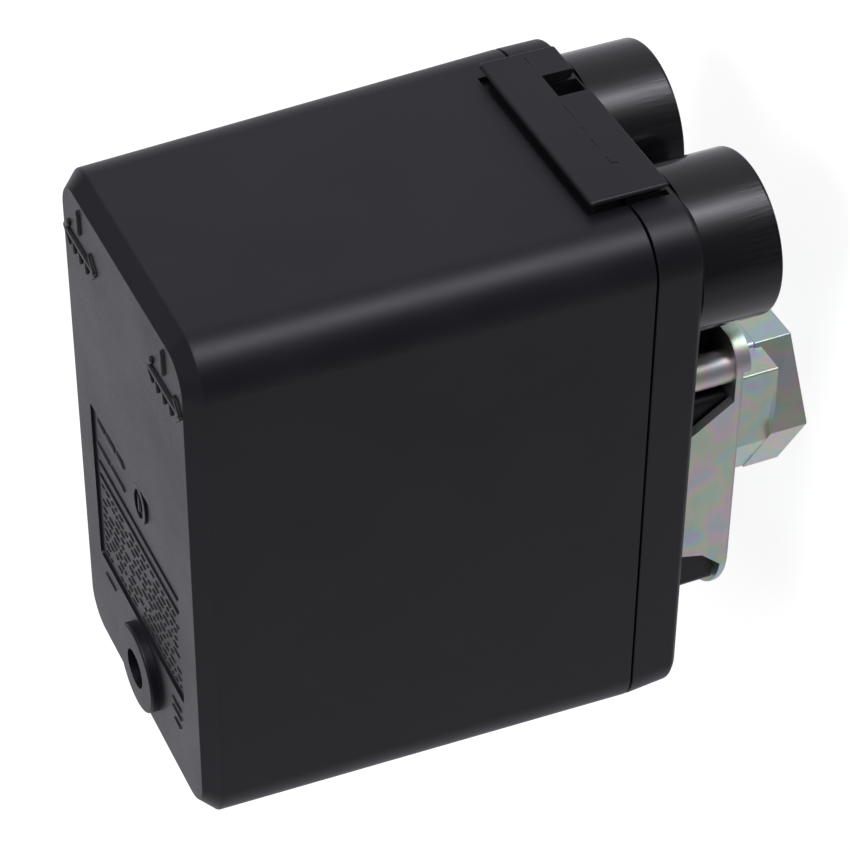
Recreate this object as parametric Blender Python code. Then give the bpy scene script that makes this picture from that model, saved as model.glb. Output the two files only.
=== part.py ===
"""Pneumatic pressure switch: a black moulded cover over a base, on a plated steel pressure flange.

Units: the dimensions below are in millimetres and MM turns them into metres. +Z is up, from the
pressure port to the cover's top face. The origin is the centre of the bounding box's bottom, level
with the port's end face. The two cable sleeves are on the +Y side, the cover's screw is at -Y.
"""

import math

import bmesh
import bpy
from mathutils import Vector

MM = 0.001
GAP = 0.3            # clearance between neighbouring pieces

# heights
HEX_TOP = 6.4
PLATE_BOTTOM, PLATE_TOP = 16.5, 18.0
BASE_BOTTOM, SEAM, TOP = 27.9, 35.7, 104.2
FLOOR_TOP = 30.5

# housing
SEAM_W, SEAM_D, SEAM_Y = 57.0, 90.8, -0.95
TOP_W, TOP_D, TOP_Y = 52.85, 89.4, -1.5
CORNER_R, EDGE, WALL = 7.5, 2.35, 2.4
TONGUE_HALF, TONGUE_Y = 18.7, 46.35
TONGUE_BOTTOM, TONGUE_TOP = 29.4, 41.7
BOSS_Y, BOSS_R, BOSS_TOP = -35.0, 7.15, 105.7
PANEL_HALF, PANEL_LOW, PANEL_HIGH, PANEL_DEPTH = 18.0, -26.7, 3.3, 0.4

# pressure side
PORT_Y = -10.7
HEX_AF, PORT_BORE = 25.1, 5.75
SHOULDER_HALF, SHOULDER_FRONT = 13.2, 11.8
PLATE_HALF, PLATE_BACK, PLATE_FRONT = 22.0, -36.2, 15.3
PLATE_BACK_R, PLATE_FRONT_R = 10.0, 4.5
PAD_BOTTOM, PAD_BACK = 15.6, 3.5
PLINTH_HALF, PLINTH_BACK, PLINTH_FRONT = 20.1, -32.0, 5.6
NOSE_HALF, NOSE_FRONT = 15.0, 16.3
STUD_X, STUD_Y, STUD_R = 19.0, 10.2, 2.6
CHAMBER_R = 16.5
CLAMP_AT = 8.9
FLANGE_SCREWS = [(-16.0, -28.2), (16.0, -28.2), (-11.0, 10.3), (11.0, 10.3)]

# cable sleeves
SLEEVE_X, SLEEVE_Y, SLEEVE_R, SLEEVE_END = 15.1, 31.4, 12.5, 15.0

# mechanism
PIVOT_Y, PIVOT_Z, PIN_R = -27.7, 44.5, 2.0
BRACKET_HALF, SHEET = 19.5, 1.5
BRIDGE_Z = 80.3
LEVER_Z, LEVER_T = 41.3, 2.0
SPRING_Y = -9.0
RANGE_X, DIFFERENTIAL_X = -8.0, 9.0

# contacts
POLES = (-12.0, 0.0, 12.0)
CARRIER_Y = 13.5
BLOCK_Z, BLOCK_TOP = 48.8, 60.6
FRONT_SCREW_Y, REAR_SCREW_Y = 23.2, 3.8
EARTH_Y = 36.0


def clear_scene():
    for old in list(bpy.data.objects):
        bpy.data.objects.remove(old, do_unlink=True)


def material(name, colour, roughness, metallic=0.0):
    made = bpy.data.materials.new(name)
    made.use_nodes = True
    shader = made.node_tree.nodes["Principled BSDF"]
    shader.inputs["Base Color"].default_value = (*colour, 1.0)
    shader.inputs["Roughness"].default_value = roughness
    shader.inputs["Metallic"].default_value = metallic
    made.diffuse_color = (*colour, 1.0)
    return made


# ---------------------------------------------------------------- shape helpers

def add_object(name, bm, finish, at=(0.0, 0.0, 0.0)):
    """Turn a mesh built in millimetres into a named object whose origin is at `at`."""
    bmesh.ops.recalc_face_normals(bm, faces=bm.faces)
    bmesh.ops.scale(bm, vec=(MM, MM, MM), verts=bm.verts)
    mesh = bpy.data.meshes.new(name)
    bm.to_mesh(mesh)
    bm.free()
    mesh.shade_smooth()
    mesh.set_sharp_from_angle(angle=math.radians(35))
    mesh.materials.append(finish)
    made = bpy.data.objects.new(name, mesh)
    made.location = Vector(at) * MM
    bpy.context.scene.collection.objects.link(made)
    return made


def loft(name, rings, finish, at=(0.0, 0.0, 0.0)):
    """Skin a row of equally long rings of points and close both ends."""
    bm = bmesh.new()
    loops = [[bm.verts.new(p) for p in ring] for ring in rings]
    count = len(loops[0])
    for low, high in zip(loops, loops[1:]):
        for i in range(count):
            j = (i + 1) % count
            bm.faces.new((low[i], low[j], high[j], high[i]))
    bm.faces.new(loops[0])
    bm.faces.new(loops[-1])
    return add_object(name, bm, finish, at)


def rounded(width, depth, radius, z, centre_y=0.0, steps=6):
    """A rounded rectangle as a ring of points at height z."""
    points = []
    for quarter, (sx, sy) in enumerate(((1, 1), (-1, 1), (-1, -1), (1, -1))):
        for k in range(steps + 1):
            turn = math.radians(90 * (quarter + k / steps))
            x = sx * (width / 2 - radius) + radius * math.cos(turn)
            y = centre_y + sy * (depth / 2 - radius) + radius * math.sin(turn)
            points.append((x, y, z))
    return points


def circle(radius, steps, x=0.0, y=0.0):
    turns = [2 * math.pi * k / steps for k in range(steps)]
    return [(x + radius * math.cos(t), y + radius * math.sin(t)) for t in turns]


def hexagon(across_flats):
    return circle(across_flats / math.sqrt(3), 6)


def place(axis, u, v, w):
    """Outline point (u, v) at depth w along axis, as x, y, z."""
    return {"X": (w, u, v), "Y": (u, w, v), "Z": (u, v, w)}[axis]


def prism(name, outline, low, high, finish, axis="Z", at=(0.0, 0.0, 0.0)):
    rings = [[place(axis, u, v, w) for u, v in outline] for w in (low, high)]
    return loft(name, rings, finish, at)


def block(name, x, y, z, finish, at=(0.0, 0.0, 0.0)):
    outline = [(x[0], y[0]), (x[1], y[0]), (x[1], y[1]), (x[0], y[1])]
    return prism(name, outline, z[0], z[1], finish, "Z", at)


def turned(name, profile, finish, at=(0.0, 0.0, 0.0), steps=32, bored=False):
    """Turn a profile of (radius, z) about the Z axis. A bored profile is a closed section."""
    bm = bmesh.new()
    loops = []
    for radius, z in profile:
        if radius < 1e-6:
            loops.append([bm.verts.new((0.0, 0.0, z))])
        else:
            loops.append([bm.verts.new((x, y, z)) for x, y in circle(radius, steps)])
    pairs = list(zip(loops, loops[1:]))
    if bored:
        pairs.append((loops[-1], loops[0]))
    for low, high in pairs:
        for i in range(steps):
            j = (i + 1) % steps
            corners = [low[i % len(low)], low[j % len(low)], high[j % len(high)], high[i % len(high)]]
            bm.faces.new(list(dict.fromkeys(corners)))
    return add_object(name, bm, finish, at)


def coil(name, radius, wire, low, high, turns, finish, at, around=10, across=6):
    """A compression spring wound about Z between two heights, with one flat turn at each end."""
    total = turns * around
    settle = 2.2 * wire
    climb = high - low - 2 * wire - 2 * settle
    rings = []
    for k in range(total + 1):
        first = min(k / around, 1.0)
        last = max((k - total) / around + 1.0, 0.0)
        rise = min(max((k - around) / (total - 2 * around), 0.0), 1.0)
        z = low + wire + settle * (first + last) + climb * rise
        turn = 2 * math.pi * k / around
        out = Vector((math.cos(turn), math.sin(turn), 0.0))
        centre = out * radius + Vector((0.0, 0.0, z))
        ring = []
        for a in range(across):
            angle = 2 * math.pi * a / across
            ring.append(centre + out * wire * math.cos(angle) + Vector((0.0, 0.0, wire * math.sin(angle))))
        rings.append(ring)
    return loft(name, rings, finish, at)


def hidden(tool):
    tool.hide_render = True
    tool.display_type = "WIRE"
    return tool


def combine(target, tool, operation):
    hidden(tool)
    tool.name = f"guide_{target.name}_{len(target.modifiers)}"
    step = target.modifiers.new(tool.name, "BOOLEAN")
    step.operation = operation
    step.solver = "EXACT"
    step.object = tool
    return target


def cut(target, tool):
    return combine(target, tool, "DIFFERENCE")


def join(target, tool):
    return combine(target, tool, "UNION")


def bore(target, finish, radius, low, high, x=0.0, y=0.0, steps=24, axis="Z"):
    """Drill a straight hole through target, with its centre at (x, y) of the outline plane."""
    return cut(target, prism("bore", circle(radius, steps, x, y), low, high, finish, axis))


# ---------------------------------------------------------------- housing

def make_cover(plastic):
    """Drafted shell with a label recess, a screw boss with its tube, and the front tongue."""
    bottom = SEAM + GAP / 2
    roof = TOP - WALL
    inner_r = CORNER_R - WALL
    cover = loft("cover", [
        rounded(TOP_W - 2 * WALL, TOP_D - 2 * WALL, inner_r, roof, TOP_Y),
        rounded(SEAM_W - 2 * WALL, SEAM_D - 2 * WALL, inner_r, bottom, SEAM_Y),
        rounded(SEAM_W, SEAM_D, CORNER_R, bottom, SEAM_Y),
        rounded(TOP_W, TOP_D, CORNER_R, TOP - EDGE, TOP_Y),
        rounded(TOP_W - 2 * EDGE, TOP_D - 2 * EDGE, CORNER_R - EDGE, TOP, TOP_Y),
    ], plastic)
    tube_bottom, seat = 94.5, 98.0
    join(cover, prism("boss", circle(BOSS_R, 40, 0.0, BOSS_Y), roof + 0.8, BOSS_TOP, plastic))
    join(cover, prism("tube", circle(5.2, 24, 0.0, BOSS_Y), tube_bottom, roof + 1.2, plastic))
    bore(cover, plastic, 3.2, seat, BOSS_TOP + 1, 0.0, BOSS_Y)
    bore(cover, plastic, 2.2, tube_bottom - 1, seat + 0.5, 0.0, BOSS_Y)
    inside = SEAM_Y + SEAM_D / 2 - 1.2
    lap = SEAM_Y + SEAM_D / 2 + GAP
    hook = [(lap, TONGUE_BOTTOM), (TONGUE_Y, TONGUE_BOTTOM), (TONGUE_Y, TONGUE_TOP),
            (inside, TONGUE_TOP), (inside, SEAM + 0.9), (lap, SEAM + 0.9)]
    join(cover, prism("tongue", hook, -TONGUE_HALF, TONGUE_HALF, plastic, "X"))
    cut(cover, block("window", (-12.0, -6.3), (lap - 0.1, TONGUE_Y + 1), (TONGUE_BOTTOM - 1, 34.6), plastic))
    cut(cover, block("panel", (-PANEL_HALF, PANEL_HALF), (PANEL_LOW, PANEL_HIGH),
                     (TOP - PANEL_DEPTH, TOP + 1), plastic))
    return cover


def make_base(plastic):
    """Tray with a lip inside the cover, a plinth below for the pressure chamber, and bosses."""
    top = SEAM - GAP / 2
    lip_w, lip_d = SEAM_W - 2 * WALL - 0.7, SEAM_D - 2 * WALL - 0.7
    lip_r, lip_top, lip_t = CORNER_R - WALL - 0.3, 38.5, 1.6
    in_w, in_d, in_r = lip_w - 2 * lip_t, lip_d - 2 * lip_t, lip_r - lip_t
    foot = 1.0
    base = loft("base", [
        rounded(in_w, in_d, in_r, FLOOR_TOP, SEAM_Y),
        rounded(in_w, in_d, in_r, lip_top, SEAM_Y),
        rounded(lip_w, lip_d, lip_r, lip_top, SEAM_Y),
        rounded(lip_w, lip_d, lip_r, top, SEAM_Y),
        rounded(SEAM_W, SEAM_D, CORNER_R, top, SEAM_Y),
        rounded(SEAM_W, SEAM_D, CORNER_R, BASE_BOTTOM + foot, SEAM_Y),
        rounded(SEAM_W - 2 * foot, SEAM_D - 2 * foot, CORNER_R - foot, BASE_BOTTOM, SEAM_Y),
    ], plastic)
    under, into = PLATE_TOP + GAP, BASE_BOTTOM + 0.8
    middle = (PLINTH_BACK + PLINTH_FRONT) / 2
    length = PLINTH_FRONT - PLINTH_BACK
    join(base, loft("plinth", [rounded(2 * PLINTH_HALF, length, 1.5, z, middle, 3) for z in (under, into)], plastic))
    join(base, block("nose", (-NOSE_HALF, NOSE_HALF), (PLINTH_FRONT - 1.0, NOSE_FRONT), (under, into + 0.1), plastic))
    join(base, prism("earth_boss", circle(4.0, 20, 0.0, EARTH_Y), FLOOR_TOP - 0.6, 38.0, plastic))
    front = SEAM_Y + SEAM_D / 2
    join(base, block("latch", (-11.5, -6.8), (front - 0.8, front + 0.7), (31.6, 34.2), plastic))
    bore(base, plastic, CHAMBER_R + 0.7, PLATE_TOP - 1, 26.3, 0.0, PORT_Y, 40)
    bore(base, plastic, 4.6, 26.0, FLOOR_TOP + 1, 0.0, PORT_Y)
    for side in (-1, 1):
        slot = sorted((side * (PLINTH_HALF - 0.2), side * (PLATE_HALF + GAP)))
        cut(base, block("slot", slot, (PORT_Y - 12.0, PORT_Y + 12.0), (27.4, FLOOR_TOP + 1), plastic))
        bore(base, plastic, 8.9, BASE_BOTTOM - 1, FLOOR_TOP + 1, side * SLEEVE_X, SLEEVE_Y, 32)
        bore(base, plastic, 1.75, 27.0, FLOOR_TOP + 1, side * 12.0, -27.0, 16)
    for x, y in FLANGE_SCREWS:
        bore(base, plastic, 2.2, PLATE_TOP - 1, 27.2, x, y, 16)
    bore(base, plastic, 1.75, 32.5, 39.0, 0.0, EARTH_Y, 16)
    sink = [(0.0, 27.0), (5.2, 27.0), (2.3, 29.9), (2.3, FLOOR_TOP + 1), (0.0, FLOOR_TOP + 1)]
    cut(base, turned("countersink", sink, plastic, (0.0, BOSS_Y, 0.0), 24))
    return base


def make_sleeve(side, x, plastic):
    """Round cable sleeve with a neck through the base and a pocket for its seal."""
    neck, bore_r, pocket_r, pocket_top = 8.6, 7.0, 8.3, 23.8
    shoulder = BASE_BOTTOM - GAP
    section = [(SLEEVE_R - 0.4, SLEEVE_END), (SLEEVE_R, SLEEVE_END + 0.4), (SLEEVE_R, shoulder),
               (neck, shoulder), (neck, 31.6), (bore_r, 31.6), (bore_r, pocket_top),
               (pocket_r, pocket_top), (pocket_r, SLEEVE_END)]
    return turned(f"cable_sleeve_{side}", section, plastic, (x, SLEEVE_Y, 0.0), 48, bored=True)


def make_seal(side, x, rubber):
    section = [(5.0, 16.5), (8.0, 16.5), (8.0, 23.5), (5.0, 23.5)]
    return turned(f"gland_seal_{side}", section, rubber, (x, SLEEVE_Y, 0.0), 32, bored=True)


def slotted_screw(name, at, head_r, head_z, shank_r, tip_z, steel, steps=20, slot=0.9):
    """Cheese-head screw: head between two heights, shank down to tip_z, with a cross slot."""
    low, high = head_z
    profile = [(0.0, tip_z), (shank_r - 0.3, tip_z), (shank_r, tip_z + 0.4), (shank_r, low), (head_r, low),
               (head_r, high - 0.3), (head_r - 0.3, high), (0.0, high)]
    screw = turned(name, profile, steel, at, steps)
    wide = head_r + 1
    x, y = at[0], at[1]
    cut(screw, block("slot", (x - wide, x + wide), (y - slot / 2, y + slot / 2), (high - 0.8, high + 1), steel))
    return screw


# ---------------------------------------------------------------- pressure side

def make_port(zinc):
    """Hexagon with the threaded port, a shoulder that is square at the front, and a neck."""
    port = prism("port_body", hexagon(HEX_AF), 0.0, HEX_TOP, zinc, "Z", (0.0, PORT_Y, 0.0))
    flat = HEX_AF / 2
    corner = flat / math.cos(math.radians(30))
    meet = (corner - SHOULDER_HALF) * math.sqrt(3)
    inset = 0.05
    outline = [(SHOULDER_HALF, SHOULDER_FRONT), (-SHOULDER_HALF, SHOULDER_FRONT), (-SHOULDER_HALF, inset - meet),
               (inset - corner / 2, inset - flat), (corner / 2 - inset, inset - flat), (SHOULDER_HALF, inset - meet)]
    outline = [(x, y + PORT_Y) for x, y in outline]
    join(port, prism("shoulder", outline, HEX_TOP - 0.6, PLATE_BOTTOM - GAP, zinc))
    join(port, prism("neck", circle(7.5, 32, 0.0, PORT_Y), PLATE_BOTTOM - 1, PLATE_TOP, zinc))
    bore(port, zinc, PORT_BORE, -1.0, 12.0, 0.0, PORT_Y, 32)
    bore(port, zinc, 2.2, 11.0, PLATE_TOP + 1, 0.0, PORT_Y, 16)
    return port


def plate_outline(back, back_r, steps=6):
    """Outline of the plate or of its thicker front pad, from a back edge to the front edge."""
    points = []
    corners = ((1, 1, PLATE_FRONT_R), (-1, 1, PLATE_FRONT_R), (-1, -1, back_r), (1, -1, back_r))
    for quarter, (sx, sy, radius) in enumerate(corners):
        centre_y = PLATE_FRONT - radius if sy > 0 else back + radius
        for k in range(steps + 1):
            turn = math.radians(90 * (quarter + k / steps))
            x = sx * (PLATE_HALF - radius) + radius * math.cos(turn)
            points.append((x, centre_y + radius * math.sin(turn)))
    return points


def make_flange_plate(zinc):
    """Plate with two tapered side tabs that rise into the base and two studs that it rests on."""
    plate = prism("flange_plate", plate_outline(PLATE_BACK, PLATE_BACK_R), PLATE_BOTTOM, PLATE_TOP, zinc)
    join(plate, prism("pad", plate_outline(PAD_BACK, 0.5), PAD_BOTTOM, PLATE_BOTTOM + 0.7, zinc))
    tab = [(-16.8, PLATE_TOP - 0.5), (16.4, PLATE_TOP - 0.5), (9.3, BASE_BOTTOM), (9.3, 31.5),
           (-11.6, 31.5), (-11.6, BASE_BOTTOM), (-13.4, 21.2)]
    tab = [(y + PORT_Y, z) for y, z in tab]
    for side in (-1, 1):
        inner, outer = sorted((side * (PLATE_HALF - SHEET), side * PLATE_HALF))
        join(plate, prism("tab", tab, inner, outer, zinc, "X"))
        stud = circle(STUD_R, 24, side * STUD_X, STUD_Y)
        join(plate, prism("stud", stud, PLATE_TOP - 0.6, BASE_BOTTOM - GAP, zinc))
    bore(plate, zinc, 7.8, PLATE_BOTTOM - 1, PLATE_TOP + 1, 0.0, PORT_Y, 32)
    for x, y in FLANGE_SCREWS:
        sink = [(0.0, PAD_BOTTOM - 1), (3.7, PAD_BOTTOM - 1), (3.7, PLATE_BOTTOM), (2.2, PLATE_TOP - 0.3),
                (2.2, PLATE_TOP + 1), (0.0, PLATE_TOP + 1)]
        cut(plate, turned("countersink", sink, zinc, (x, y, 0.0), 20))
    for x, y in clamp_places():
        bore(plate, zinc, 1.7, PAD_BOTTOM - 1, PLATE_TOP + 1, x, y, 14)
    return plate


def clamp_places():
    return [(sx * CLAMP_AT, PORT_Y + sy * CLAMP_AT) for sx, sy in ((-1, -1), (1, -1), (1, 1), (-1, 1))]


def make_chamber(steel, zinc, rubber):
    """Cup, diaphragm and clamp ring above the plate, held by four screws."""
    at = (0.0, PORT_Y, 0.0)
    cup_z, skin_z, ring_z = (18.3, 20.9), (21.2, 22.0), (22.3, 25.9)
    cup = turned("pressure_cup", [(2.2, cup_z[0]), (CHAMBER_R, cup_z[0]), (CHAMBER_R, cup_z[1]), (13.6, cup_z[1]),
                                  (13.0, 20.0), (2.2, 20.0)], zinc, at, 36, bored=True)
    skin = turned("diaphragm", [(0.0, skin_z[0]), (CHAMBER_R, skin_z[0]), (CHAMBER_R, skin_z[1]),
                                (0.0, skin_z[1])], rubber, at, 36)
    ring = turned("clamp_ring", [(8.2, ring_z[0]), (CHAMBER_R, ring_z[0]), (CHAMBER_R, ring_z[1]),
                                 (8.2, ring_z[1])], steel, at, 36, bored=True)
    for number, (x, y) in enumerate(clamp_places(), 1):
        for piece in (cup, skin, ring):
            bore(piece, steel, 1.7, 17.0, 27.0, x, y, 14)
        bore(ring, steel, 2.9, 24.2, 27.0, x, y, 16)
        slotted_screw(f"clamp_screw_{number}", (x, y, 0.0), 2.5, (24.5, 25.8), 1.4, 16.8, steel, 16)


def make_flange_screws(steel):
    for number, (x, y) in enumerate(FLANGE_SCREWS, 1):
        face = PAD_BOTTOM + GAP if y > PAD_BACK else PLATE_BOTTOM
        profile = [(0.0, face), (3.2, face), (3.2, 16.6), (1.9, 17.5), (1.9, 26.6), (1.5, 27.0), (0.0, 27.0)]
        turned(f"flange_screw_{number}", profile, steel, (x, y, 0.0), 20)


def make_plunger(brass):
    profile = [(0.0, 22.3), (7.0, 22.3), (7.5, 22.8), (7.5, 23.4), (7.1, 23.8), (3.2, 23.8),
               (3.2, 39.4), (2.4, 40.6), (0.0, 41.0)]
    return turned("plunger", profile, brass, (0.0, PORT_Y, 0.0), 28)


# ---------------------------------------------------------------- mechanism

def make_bracket(zinc):
    """U-shaped sheet bracket that carries the lever pin and the spring bridge."""
    bottom = FLOOR_TOP + GAP
    bracket = block("mechanism_bracket", (-BRACKET_HALF, BRACKET_HALF), (-31.0, 0.0), (bottom, bottom + SHEET), zinc)
    side = [(-31.0, bottom + 0.4), (0.0, bottom + 0.4), (0.0, BRIDGE_Z - GAP), (-5.0, BRIDGE_Z - GAP), (-5.0, 83.4),
            (-13.0, 83.4), (-13.0, BRIDGE_Z - GAP), (-18.0, BRIDGE_Z - GAP), (-18.0, 58.0), (-31.0, 50.0)]
    for sign in (-1, 1):
        low, high = sorted((sign * BRACKET_HALF, sign * (BRACKET_HALF - SHEET)))
        join(bracket, prism("side", side, low, high, zinc, "X"))
        bore(bracket, zinc, 1.8, bottom - 1, bottom + SHEET + 1, sign * 12.0, -27.0, 16)
    bore(bracket, zinc, 5.0, bottom - 1, bottom + SHEET + 1, 0.0, PORT_Y)
    bore(bracket, zinc, PIN_R + GAP, -25.0, 25.0, PIVOT_Y, PIVOT_Z, 24, "X")
    return bracket


def make_lever(steel):
    """Lever plate with two ears on the pin, a wide spring seat and a narrow front arm."""
    top = LEVER_Z + LEVER_T
    outline = [(-16.0, -31.0), (16.0, -31.0), (16.0, -3.0), (6.0, 1.0), (6.0, 18.0), (-6.0, 18.0), (-6.0, 1.0),
               (-16.0, -3.0)]
    pivot = (0.0, PIVOT_Y, PIVOT_Z)
    outline = [(x, y - PIVOT_Y) for x, y in outline]
    lever = prism("main_lever", outline, LEVER_Z - PIVOT_Z, top - PIVOT_Z, steel, "Z", pivot)
    ear = [(-31.0, top - 0.6), (-24.0, top - 0.6), (-24.0, 46.2), (-25.6, 47.8), (-29.4, 47.8), (-31.0, 46.2)]
    for sign in (-1, 1):
        low, high = sorted((sign * 14.5, sign * 16.0))
        join(lever, prism("ear", ear, low, high, steel, "X"))
    bore(lever, steel, PIN_R + 0.1, -17.0, 17.0, PIVOT_Y, PIVOT_Z, 32, "X")
    return lever


def make_lever_pin(steel):
    return prism("lever_pin", circle(PIN_R, 32), -21.5, 21.5, steel, "X", (0.0, PIVOT_Y, PIVOT_Z))


def make_spring_bridge(zinc):
    thick = 2.0
    bridge = block("spring_bridge", (-21.3, 21.3), (-18.0, 0.0), (BRIDGE_Z, BRIDGE_Z + thick), zinc)
    low, high = BRIDGE_Z - 1, BRIDGE_Z + thick + 1
    for sign in (-1, 1):
        slot = sorted((sign * 17.7, sign * 19.8))
        cut(bridge, block("slot", slot, (-13.3, -4.7), (low, high), zinc))
    bore(bridge, zinc, 2.3, low, high, RANGE_X, SPRING_Y, 20)
    bore(bridge, zinc, 1.9, low, high, DIFFERENTIAL_X, SPRING_Y, 20)
    return bridge


def make_adjuster(name, x, shank_r, tip, flats, head, nut_half, nut_z, spring, metals):
    """Hex-headed adjusting screw, its travelling square nut and the spring under the nut."""
    steel, zinc, wire_steel = metals
    at = (x, SPRING_Y, 0.0)
    collar = BRIDGE_Z + 2.0 + GAP
    screw = prism(f"{name}_screw", hexagon(flats), collar, collar + head, steel, "Z", at)
    join(screw, prism("shank", circle(shank_r, 24, x, SPRING_Y), tip, collar + 0.5, steel))
    slot = (SPRING_Y - 0.6, SPRING_Y + 0.6)
    cut(screw, block("slot", (x - flats, x + flats), slot, (collar + head - 1.2, collar + head + 1), steel))
    half = (-nut_half, nut_half)
    nut = block(f"{name}_nut", half, half, nut_z, zinc, at)
    bore(nut, zinc, shank_r + 0.1, nut_z[0] - 1, nut_z[1] + 1, x, SPRING_Y)
    radius, wire, turns = spring
    seat = LEVER_Z + LEVER_T + GAP
    coil(f"{name}_spring", radius, wire, seat, nut_z[0] - GAP, turns, wire_steel, at)


# ---------------------------------------------------------------- contacts and terminals

def make_terminal_block(phenolic):
    """Insulating block on two legs, with a slot for the carrier and walls between the poles."""
    rear, front = 0.8, 26.5
    body = block("terminal_block", (-21.5, 21.5), (rear, front), (BLOCK_Z, BLOCK_TOP), phenolic)
    for sign in (-1, 1):
        leg = sorted((sign * 17.5, sign * 21.4))
        join(body, block("leg", leg, (6.0, 20.0), (FLOOR_TOP + GAP, BLOCK_Z + 1), phenolic))
    for x in (-18.0, -6.0, 6.0, 18.0):
        for low, high in ((rear + 0.1, 10.0), (17.0, front - 0.1)):
            join(body, block("wall", (x - 0.6, x + 0.6), (low, high), (BLOCK_TOP - 0.5, 66.0), phenolic))
    cut(body, block("slot", (-17.0, 17.0), (CARRIER_Y - 2.5, CARRIER_Y + 2.5), (BLOCK_Z - 1, BLOCK_TOP + 1), phenolic))
    for x in POLES:
        for y in (FRONT_SCREW_Y, REAR_SCREW_Y):
            bore(body, phenolic, 1.7, 53.0, BLOCK_TOP + 1, x, y, 12)
    return body


def make_fixed_contact(name, x, span, button_y, screw_y, brass):
    low, high = BLOCK_TOP + GAP, BLOCK_TOP + GAP + 0.8
    strip = block(name, (x - 3.5, x + 3.5), span, (low, high), brass)
    join(strip, prism("button", circle(1.5, 16, x, button_y), high - 0.3, high + 0.4, brass))
    return bore(strip, brass, 1.8, low - 1, high + 1, x, screw_y, 16)


def make_carrier(phenolic):
    """Sliding bar lifted by the lever, with a foot below and a headed post for each bridge."""
    low, high = CARRIER_Y - 2.1, CARRIER_Y + 2.1
    carrier = block("contact_carrier", (-16.5, 16.5), (low, high), (49.4, 60.0), phenolic)
    join(carrier, block("foot", (-4.0, 4.0), (12.0, 15.0), (43.6, 50.0), phenolic))
    for x in POLES:
        half = 1.1
        join(carrier, block("post", (x - half, x + half), (CARRIER_Y - half, CARRIER_Y + half), (59.5, 69.5), phenolic))
        join(carrier, prism("head", circle(2.4, 16, x, CARRIER_Y), 69.2, 70.4, phenolic))
    return carrier


def make_bridge_contact(number, x, brass, wire_steel):
    """Contact strip around a carrier post with a button at each end, and its spring."""
    low, high = 63.0, 64.0
    strip = block(f"contact_bridge_{number}", (x - 2.5, x + 2.5), (7.0, 20.0), (low, high), brass)
    for y in (8.4, 18.6):
        join(strip, prism("button", circle(1.4, 16, x, y), low - 0.6, low + 0.3, brass))
    hole = 1.5
    cut(strip, block("hole", (x - hole, x + hole), (CARRIER_Y - hole, CARRIER_Y + hole), (low - 1, high + 1), brass))
    at = (x, CARRIER_Y, 0.0)
    coil(f"contact_spring_{number}", 2.1, 0.3, high + GAP, 68.9, 5, wire_steel, at, 10, 4)


def make_contacts(phenolic, brass, steel, wire_steel):
    make_terminal_block(phenolic)
    make_carrier(phenolic)
    head = (BLOCK_TOP + 1.4, BLOCK_TOP + 3.4)
    for number, x in enumerate(POLES, 1):
        make_fixed_contact(f"fixed_contact_front_{number}", x, (17.2, 26.0), 18.6, FRONT_SCREW_Y, brass)
        make_fixed_contact(f"fixed_contact_rear_{number}", x, (1.2, 9.8), 8.4, REAR_SCREW_Y, brass)
        slotted_screw(f"terminal_screw_front_{number}", (x, FRONT_SCREW_Y, 0.0), 2.6, head, 1.4, 54.0, steel)
        slotted_screw(f"terminal_screw_rear_{number}", (x, REAR_SCREW_Y, 0.0), 2.6, head, 1.4, 54.0, steel)
        make_bridge_contact(number, x, brass, wire_steel)


def make_earth_terminal(brass, steel):
    plate = block("earth_plate", (-4.5, 4.5), (32.0, 39.6), (38.3, 39.3), brass)
    bore(plate, brass, 1.8, 37.0, 41.0, 0.0, EARTH_Y, 16)
    slotted_screw("earth_screw", (0.0, EARTH_Y, 0.0), 2.8, (39.6, 41.6), 1.45, 33.2, steel)


def make_cover_fixing(steel):
    """Hexagonal post on the base, the screw that holds it, and the captive cover screw."""
    post = prism("cover_post", hexagon(7.0), FLOOR_TOP + GAP, 94.2, steel, "Z", (0.0, BOSS_Y, 0.0))
    bore(post, steel, 2.2, 82.0, 95.0, 0.0, BOSS_Y, 20)
    bore(post, steel, 2.2, 30.0, 40.0, 0.0, BOSS_Y, 20)
    profile = [(0.0, 28.0), (3.8, 28.0), (1.9, 29.9), (1.9, 38.6), (1.5, 39.0), (0.0, 39.0)]
    turned("post_screw", profile, steel, (0.0, BOSS_Y, 0.0), 20)
    slotted_screw("cover_screw", (0.0, BOSS_Y, 0.0), 2.8, (98.3, 101.0), 1.9, 84.0, steel, 24, 1.1)


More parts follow.
